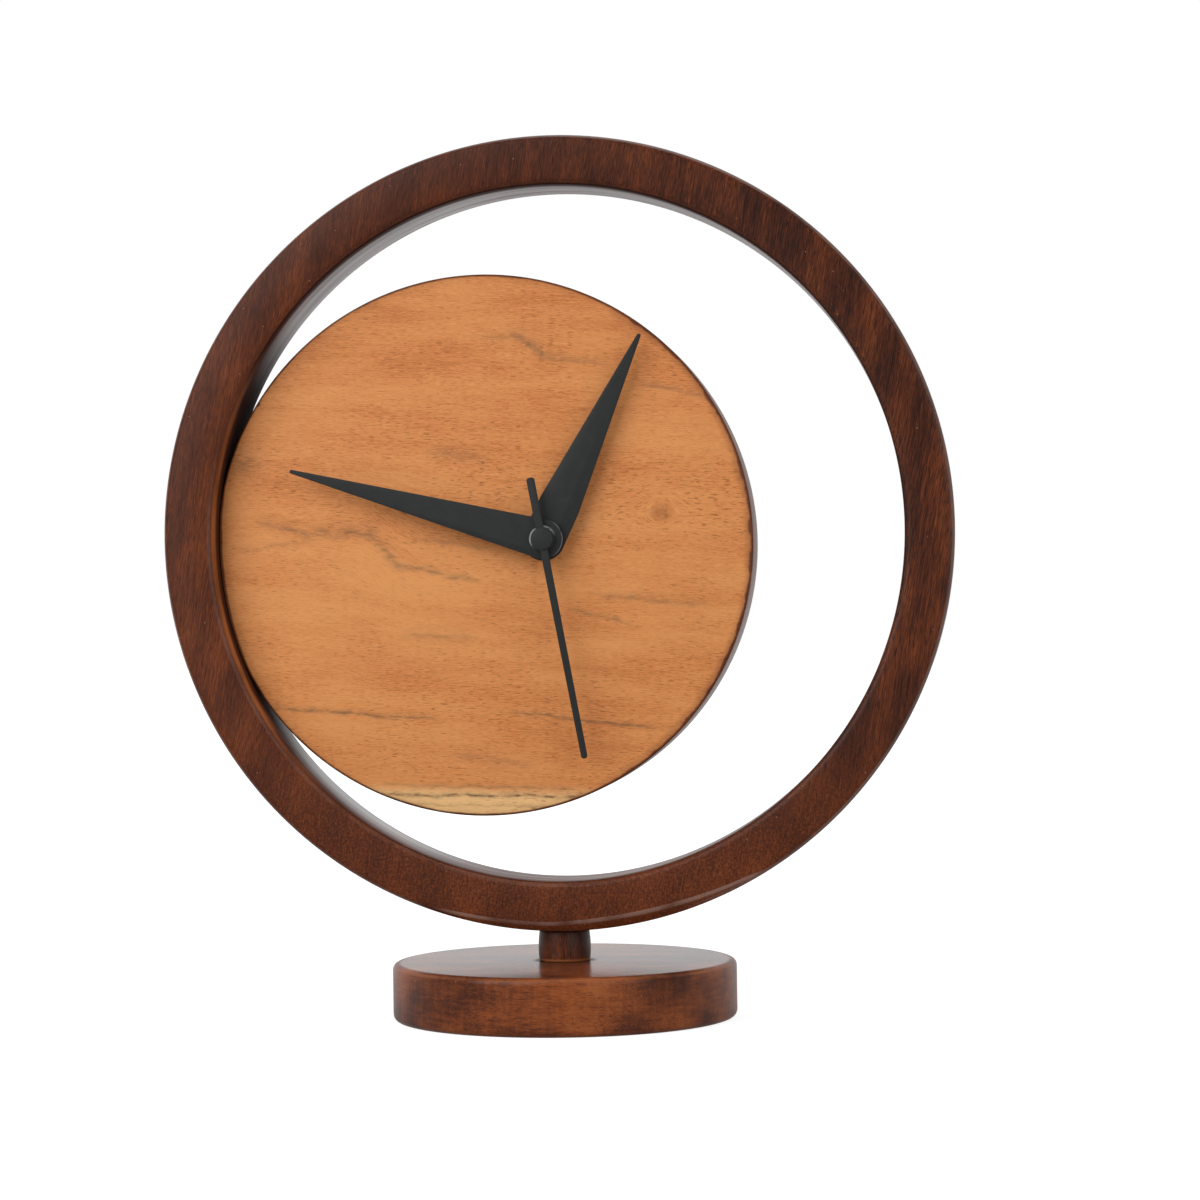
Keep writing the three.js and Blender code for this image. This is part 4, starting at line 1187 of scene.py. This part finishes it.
hand_over(dial, "clock_frame", ["dial_disc"], dial_wood)

# %% [markdown]
# ## Other finishes
# The small parts are moulded plastic, turned brass, plain steel, rubber and the like. One flat colour each
# would look lifeless close up, and a net of its own for each would repeat the same nodes. They share one
# group, which gives a cloudy value and a fine grain, and one function, which turns them into a material
# with two close colours, a roughness that changes a little and a grain in the surface.

# %% Grained finish
fine_grain, given, put = new_group("fine_grain", ["Vector", "Scale"], ["Cloud", "Grain"])
vector, scale = given
plug(noise(vector, scale * 0.08, detail=4, roughness=0.6), put["Cloud"])
plug(noise(vector, scale, detail=2), put["Grain"])
# A metal grey for painted highlights.
painted_highlight_grey = (0.36, 0.36, 0.35)


def grained_finish(
    name, colour, scale, roughness, relief, metallic=0.0, stretch=(1, 1, 1), gloss=0.5, painted_highlight_at=None
):
    """A finish of two close tones with a fine grain. Stretch pulls the grain out into brush lines, and the
    last argument gives, for a point, where highlights are painted in a metal grey."""
    material, tree, shader = new_material(name)
    place = add_node(tree, "VectorMath", {0: piece_place(tree), 1: stretch}, operation="MULTIPLY")
    cloud, grain = place_group(tree, fine_grain, place, scale)
    tone = cloud * 0.6 + grain * 0.4
    dark = [0.8 * share for share in colour]
    light = [1.2 * share for share in colour]
    paint = tones(tone, (0.3, dark), (0.7, light))
    if painted_highlight_at:
        paint = cover(painted_highlight_at(*split(piece_place(tree))), paint, painted_highlight_grey)
    dress(shader, {
        "Base Color": paint,
        "Roughness": cloud * 0.16 + (roughness - 0.08),
        "Metallic": metallic,
        "Specular IOR Level": gloss,
        "Normal": bump(grain, relief, 0.05 * MM),
    })
    return material


def hand_paint(name, painted_highlight_at=None):
    black_paint = (0.0195, 0.0210, 0.0207)
    return grained_finish(name, black_paint, 3500, 0.5, 0.15, gloss=0.25, painted_highlight_at=painted_highlight_at)


print("Group", fine_grain.name)

# %% Other finishes
# For each slot: name, colour, grain scale, roughness, relief and, for some, share of metal and stretch.
recipes = {
    "brass": ("turned_brass", (0.59, 0.37, 0.10), 1800, 0.34, 0.1, 1.0, (1, 8, 1)),
    "steel": ("plain_steel", (0.51, 0.52, 0.53), 1500, 0.34, 0.1, 1.0, (6, 1, 1)),
    "case_black": ("case_plastic", (0.017, 0.0175, 0.018), 2600, 0.5, 0.35),
    "wheel_white": ("white_plastic", (0.74, 0.72, 0.66), 1200, 0.45, 0.08),
    "wheel_yellow": ("yellow_plastic", (0.67, 0.53, 0.11), 1200, 0.45, 0.08),
    "bobbin_cream": ("cream_plastic", (0.62, 0.59, 0.51), 1200, 0.5, 0.08),
    "board_green": ("board_laminate", (0.028, 0.15, 0.045), 900, 0.4, 0.1),
    "chip_black": ("cast_resin", (0.0075, 0.0075, 0.0075), 700, 0.25, 0.05),
    "rubber": ("gasket_rubber", (0.0125, 0.0125, 0.0125), 2200, 0.75, 0.3),
    "copper": ("wound_wire", (0.36, 0.12, 0.027), 4200, 0.36, 0.5, 0.9, (3, 0.1, 0.1)),
    "magnet": ("sintered_magnet", (0.07, 0.07, 0.073), 1600, 0.42, 0.2, 0.8),
    "peg_wood": ("peg_wood", (0.57, 0.35, 0.14), 900, 0.6, 0.25, 0.0, (0.12, 1, 1)),
    "cell_sleeve": ("cell_sleeve", (0.046, 0.070, 0.093), 1400, 0.3, 0.06),
}
finishes = {slot: grained_finish(*recipe) for slot, recipe in recipes.items()}
finishes["hand_black"] = hand_paint("hand_paint")
finishes["dark_wood"] = hoop_wood
finishes["pale_wood"] = dial_wood
print("Finishes:", ", ".join(finishes))

# %% [markdown]
# ## Hour and minute hands
# The two hands are thin pressed plates: a round hub from which the blade widens to a shoulder and narrows
# to the tip. Hub and blade could be two pieces joined by a Boolean, but it is cleaner to grow the blade
# from the hub. Each hand starts as a flat cylinder. The upper faces of its rim are extruded up and
# flattened into the shoulder, then extruded to the tip and narrowed. Tip and edges are rounded before boss
# and collar are joined, because edges left by a cut would hold the rounding back. The hand points to twelve
# and is then turned to its hour.

# %% Hand helpers
hand_plate = 0.6 * MM
tip_half = 0.6 * MM
tip_rounding = 0.9
hand_edge = 0.1 * MM
blade_root = 0.1
collar_wall = 1.1 * MM


def soften(piece, width, segments=2, angle=35):
    """Rounds the sharp edges of a piece and merges the slivers that this leaves."""
    modifier = piece.modifiers.new("soften", "BEVEL")
    modifier.width = width
    modifier.segments = segments
    modifier.limit_method = "ANGLE"
    modifier.angle_limit = radians(angle)
    apply(piece, modifier)
    edit(piece)
    close_up()
    leave()


def hand_blade(name, front, hub, shoulder, shoulder_half, length):
    """A flat hand that points to twelve, with its hub at the origin."""
    back = front + hand_plate
    blade = round_bar(name, (0, back, 0), (0, front, 0), hub, 128)
    edit(blade)
    pick(blade, "FACE", lambda p: front + tiny < p.y < back - tiny and p.z > blade_root * hub)
    extrude(0, 0, shoulder)
    bpy.ops.transform.resize(value=(shoulder_half / hub, 1, 0), center_override=(0, 0, shoulder))
    extrude(0, 0, length - shoulder)
    bpy.ops.transform.resize(value=(tip_half / shoulder_half, 1, 1), center_override=(0, 0, length))
    close_up()
    bpy.ops.mesh.dissolve_limited(angle_limit=radians(0.5))
    bevel(blade, lambda p: p.z > length - tiny and abs(p.x) > tip_half / 2, tip_half * tip_rounding, 4)
    leave()
    soften(blade, hand_edge)
    return blade


def rounded_bar(name, start, end, radius):
    """A short bar on the spindle with rounded edges."""
    bar = round_bar(name, start, end, radius, 96)
    soften(bar, hand_edge)
    return bar


def fit_collar(hand, front, plate, back, hole):
    """Joins the collar behind a hand's plate to it and bores both for the pipe that carries them."""
    collar = round_bar("collar", (0, plate + hand_plate / 2, 0), (0, back, 0), hole + collar_wall)
    carve(hand, collar, "UNION")
    bore(hand, (0, front - loose_gap, 0), (0, back + loose_gap, 0), hole)


def set_hand(hand, angle, body, node, paint):
    """Turns a hand from twelve to its angle and puts it on the spindle."""
    take(hand)
    hand.rotation_euler = (0, radians(angle), 0)
    hand.location = (spindle.x, 0, spindle.z)
    hand_over(settle(hand.name), body, [node], paint, smooth=25)


print("Hands are plates, thickness in mm:", in_mm(hand_plate))

# %% Hour hand
hour_low, hour_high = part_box("hour_hand")
hour_hole = 2.54 * MM
hour_angle = 26
hour = hand_blade(
    "hour_hand_blade",
    front=hour_low.y,
    hub=6.8 * MM,
    shoulder=12 * MM,
    shoulder_half=6.6 * MM,
    length=71.3 * MM,
)
fit_collar(hour, hour_low.y, hour_low.y, hour_high.y, hour_hole)
set_hand(hour, hour_angle, "hour_train", "hour_hand", finishes["hand_black"])

# %% Minute hand
minute_low, minute_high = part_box("minute_hand")
minute_hole = 1.56 * MM
minute_angle = 285.8
minute_hub = 6.3 * MM
boss_radius = 4 * MM
boss_height = 0.8 * MM
minute_front = minute_low.y + boss_height
minute = hand_blade(
    "minute_hand_blade",
    front=minute_front,
    hub=minute_hub,
    shoulder=6.5 * MM,
    shoulder_half=5.86 * MM,
    length=83.8 * MM,
)
boss_end = (0, minute_front + hand_plate / 2, 0)
carve(minute, rounded_bar("boss", (0, minute_low.y, 0), boss_end, boss_radius), "UNION")
fit_collar(minute, minute_low.y, minute_front, minute_high.y, minute_hole)


def minute_hub_highlights(x, y, z):
    """Painted highlights in a metal grey on the upper edge of the boss and on the hub's edge away from the
    blade, broken up by noise.
    """
    from_spindle = distance_from(x, z, spindle)
    boss_arc = slope(abs(from_spindle - boss_radius), 0.4, 0.15)
    boss_arc = boss_arc * slope(z - spindle.z - (x - spindle.x) * 0.6, -2, 2)
    hub_arc = slope(abs(from_spindle - minute_hub), 0.35, 0.1)
    hub_arc = hub_arc * slope(x - spindle.x, 2, 5)
    front_side = slope(y - minute_front, 0.45, 0.15)
    highlight_breakup = soft_step(noise(join(x, y, z), scale=400.0), 0.3, 0.55)
    return (boss_arc * 0.9 + hub_arc * 0.4) * front_side * highlight_breakup


set_hand(minute, minute_angle, "minute_train", "minute_hand", hand_paint("minute_paint", minute_hub_highlights))

# %% [markdown]
# ## Second hand
# The second hand is a slim needle through a small hub. It passes the hub on both sides and has straight
# sides, so it isn't grown like the others: the needle is a long box, a little wider at its tail than at its
# tip, with rounded ends. The hub is a cylinder that is joined to it.

# %% Second hand
second_low, second_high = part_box("second_hand")
second_hub = 3.5 * MM
second_angle = 169.65
needle_length = 70.2 * MM
needle_tail = 19.6 * MM
needle_half = 1.3 * MM
needle_tip_half = 1.0 * MM
arbor_hole = 0.58 * MM
hub_cap = 0.5 * MM
needle_middle = (second_low.y + second_high.y) / 2
needle_front = needle_middle - hand_plate / 2
needle_back = needle_middle + hand_plate / 2
needle = box_block(
    "second_hand_needle",
    (-needle_half, needle_front, -needle_tail),
    (needle_half, needle_back, needle_length),
)
edit(needle)
pick(needle, "VERT", lambda p: p.z > 0)
bpy.ops.transform.resize(value=(needle_tip_half / needle_half, 1, 1), center_override=(0, 0, 0))
bevel(needle, lambda p: abs(p.y - needle_middle) < tiny, needle_tip_half * tip_rounding, 5)
leave()
soften(needle, hand_edge)
carve(needle, rounded_bar("hub", (0, second_high.y, 0), (0, second_low.y, 0), second_hub), "UNION")
bore(needle, (0, second_low.y + hub_cap, 0), (0, second_high.y + loose_gap, 0), arbor_hole, 32)
set_hand(needle, second_angle, "second_train", "second_hand", finishes["hand_black"])

# %% [markdown]
# ## Shells and small metal parts
# Case, cover, knob, nut, washer and screw already have their right shapes in the frame, with hard edges. A
# moulded or machined edge is never that sharp, so a copy of each is merged into whole faces and its edges
# are rounded. The cover and the knob get a shallow panel first: their back faces are inset and pushed in. A
# raised ring round the knob and a plus and a minus over the cell's ends are then joined to the cover.

# %% Copies and panels
def whole_copy(node):
    """A copy of a node's mesh, merged and with its flat faces whole."""
    piece = bpy.data.objects.new(node + "_fine", frame["nodes"][node].data.copy())
    scene.collection.objects.link(piece)
    edit(piece)
    pick_all()
    bpy.ops.mesh.remove_doubles(threshold=tiny / 10)
    bpy.ops.mesh.dissolve_limited(angle_limit=radians(1))
    leave()
    return piece


def press_panel(piece, margin, step):
    """Insets the back face of a piece and pushes the panel in."""
    back = max(corner.co.y for corner in piece.data.vertices)
    edit(piece)
    pick(piece, "FACE", lambda p: p.y > back - tiny)
    bpy.ops.mesh.inset(thickness=margin, use_boundary=True)
    extrude(0, -step, 0)
    leave()


panels = {"back_cover": (1.6 * MM, 0.25 * MM), "setting_knob": (1.1 * MM, 0.5 * MM)}
print("Panels are pressed into", " and ".join(panels))

# %% Raised marks
sunk = 0.1 * MM
mark_height = 0.4 * MM
mark_half = 1.5 * MM
stroke_half = 0.35 * MM
mark_inset = 4.2 * MM
knob_ring_radius = 8.2 * MM
knob_ring_wall = 0.9 * MM


def raise_marks(shell, panel):
    """Joins a ring round the knob and the cell's plus and minus to the cover's panel."""
    knob_low, knob_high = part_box("setting_knob")
    knob_middle = (knob_low + knob_high) / 2
    ring_start = Vector((knob_middle.x, panel - sunk, knob_middle.z))
    ring_end = Vector((knob_middle.x, panel + mark_height, knob_middle.z))
    ring = round_bar("knob_ring", ring_start, ring_end, knob_ring_radius)
    beyond = Vector((0, sunk, 0))
    bore(ring, ring_start - beyond, ring_end + beyond, knob_ring_radius - knob_ring_wall)
    carve(shell, ring, "UNION")
    left, right = (end.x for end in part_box("battery_cell"))
    middle_z = min(corner.co.z for corner in shell.data.vertices) + mark_inset
    for middle_x, crossed in ((right - mark_inset, True), (left + mark_inset, False)):
        strokes = [(mark_half, stroke_half)] + [(stroke_half, mark_half)] * crossed
        for half_x, half_z in strokes:
            low = (middle_x - half_x, panel - sunk, middle_z - half_z)
            high = (middle_x + half_x, panel + mark_height, middle_z + half_z)
            carve(shell, box_block("mark", low, high), "UNION")


print("Marks stand out, height in mm:", in_mm(mark_height))

# %% Shells and small metal parts
slot_of = {item["node"]: item["material_slot"] for item in frame["record"]["subparts"]}
body_of_node = {
    node: body for body, nodes in frame["record"]["behaviour"]["bodies"].items() for node in nodes
}
rounded_edges = {
    "movement_case": 0.3 * MM,
    "back_cover": 0.1 * MM,
    "setting_knob": 0.15 * MM,
    "fixing_nut": 0.2 * MM,
    "dial_washer": 0.1 * MM,
    "threaded_bushing": 0.15 * MM,
    "foot_screw": 0.12 * MM,
}
for node, width in rounded_edges.items():
    shell = whole_copy(node)
    if node in panels:
        press_panel(shell, *panels[node])
    if node == "back_cover":
        raise_marks(shell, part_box(node)[1].y - panels[node][1])
    soften(shell, width)
    hand_over(shell, body_of_node[node], [node], finishes[slot_of[node]])

# %% [markdown]
# ## Battery cell
# The cell is a round can in a printed sleeve, with a small nub at the right end. Can and sleeve could be
# two pieces, but the sleeve is as thin as paper, so one cylinder along X and one material show both. The
# nub is inset and extruded from the end face, the flat end is stepped in the same way, and the rims are
# rounded. The sleeve has no words. A mask of the distance to the cell's axis leaves its ends bare steel.

# %% Battery cell
cell_low, cell_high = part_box("battery_cell")
cell_middle = (cell_low + cell_high) / 2
cell_radius = (cell_high.z - cell_low.z) / 2
cell_rounding = 0.7 * MM
cell_edge = 0.12 * MM
nub_length = 1 * MM
nub_radius = 2.75 * MM
end_step = 0.25 * MM
end_margin = 1.3 * MM
shoulder_x = cell_high.x - nub_length
end_x = cell_low.x + end_step
cell_start = (end_x, cell_middle.y, cell_middle.z)
cell = round_bar("cell_can", cell_start, (shoulder_x, cell_middle.y, cell_middle.z), cell_radius, 96)
edit(cell)
bevel(cell, lambda p: p.x > shoulder_x - tiny or p.x < end_x + tiny, cell_rounding, 4)
pick(cell, "FACE", lambda p: p.x > shoulder_x - tiny)
bpy.ops.mesh.inset(thickness=cell_radius - cell_rounding - nub_radius)
extrude(nub_length, 0, 0)
pick(cell, "FACE", lambda p: p.x < end_x + tiny)
bpy.ops.mesh.inset(thickness=end_margin)
extrude(-end_step, 0, 0)
leave()
soften(cell, cell_edge)
print("Cell turned, radius in mm:", in_mm(cell_radius))

# %% Sleeve of the cell
sleeve_dark = (0.035, 0.056, 0.078)
sleeve_light = (0.050, 0.075, 0.100)
band_grey = (0.36, 0.37, 0.38)
steel_dark = (0.50, 0.51, 0.52)
steel_light = (0.64, 0.65, 0.66)
band_edge = 15 * MM
sleeve_grain = 1400.0
cell_paint, tree, shader = new_material("cell_sleeve_and_ends")
x, y, z = split(piece_place(tree, cell_middle))
cloud, grain = place_group(tree, fine_grain, piece_place(tree), sleeve_grain)
bare = slope(cell_radius - diagonal(y, z), 0.95, 1.05)
band = slope(x - band_edge, 0, 0.15)
sleeve = cover(band, tones(cloud, (0.3, sleeve_dark), (0.7, sleeve_light)), band_grey)
steel_end = tones(cloud, (0.3, steel_dark), (0.7, steel_light))
dress(shader, {
    "Base Color": cover(bare, sleeve, steel_end),
    "Roughness": cloud * 0.14 + 0.22,
    "Metallic": bare * 0.9 + band * 0.1,
    "Normal": bump(grain, 0.05, 0.05 * MM),
})
hand_over(cell, "battery", ["battery_cell"], cell_paint)

# %% [markdown]
# ## Parts inside the movement
# Wheels, motor, board and contacts stay as the frame has them, because their shapes are right and the case
# hides most of them. Each takes the finish of its slot.

# %% Parts inside the movement
for node, part in frame["nodes"].items():
    part.material_slots[0].material = finishes[slot_of[node]]
print("Finishes given to", len(frame["nodes"]), "nodes")

# %% [markdown]
# ## Size
# The visual model must not outgrow the frame. A render would not show a millimetre too much, so both boxes
# are measured and printed.

# %% Size
visual_low, visual_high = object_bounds()
print("Visual box in mm:", in_mm(*(visual_high - visual_low)))
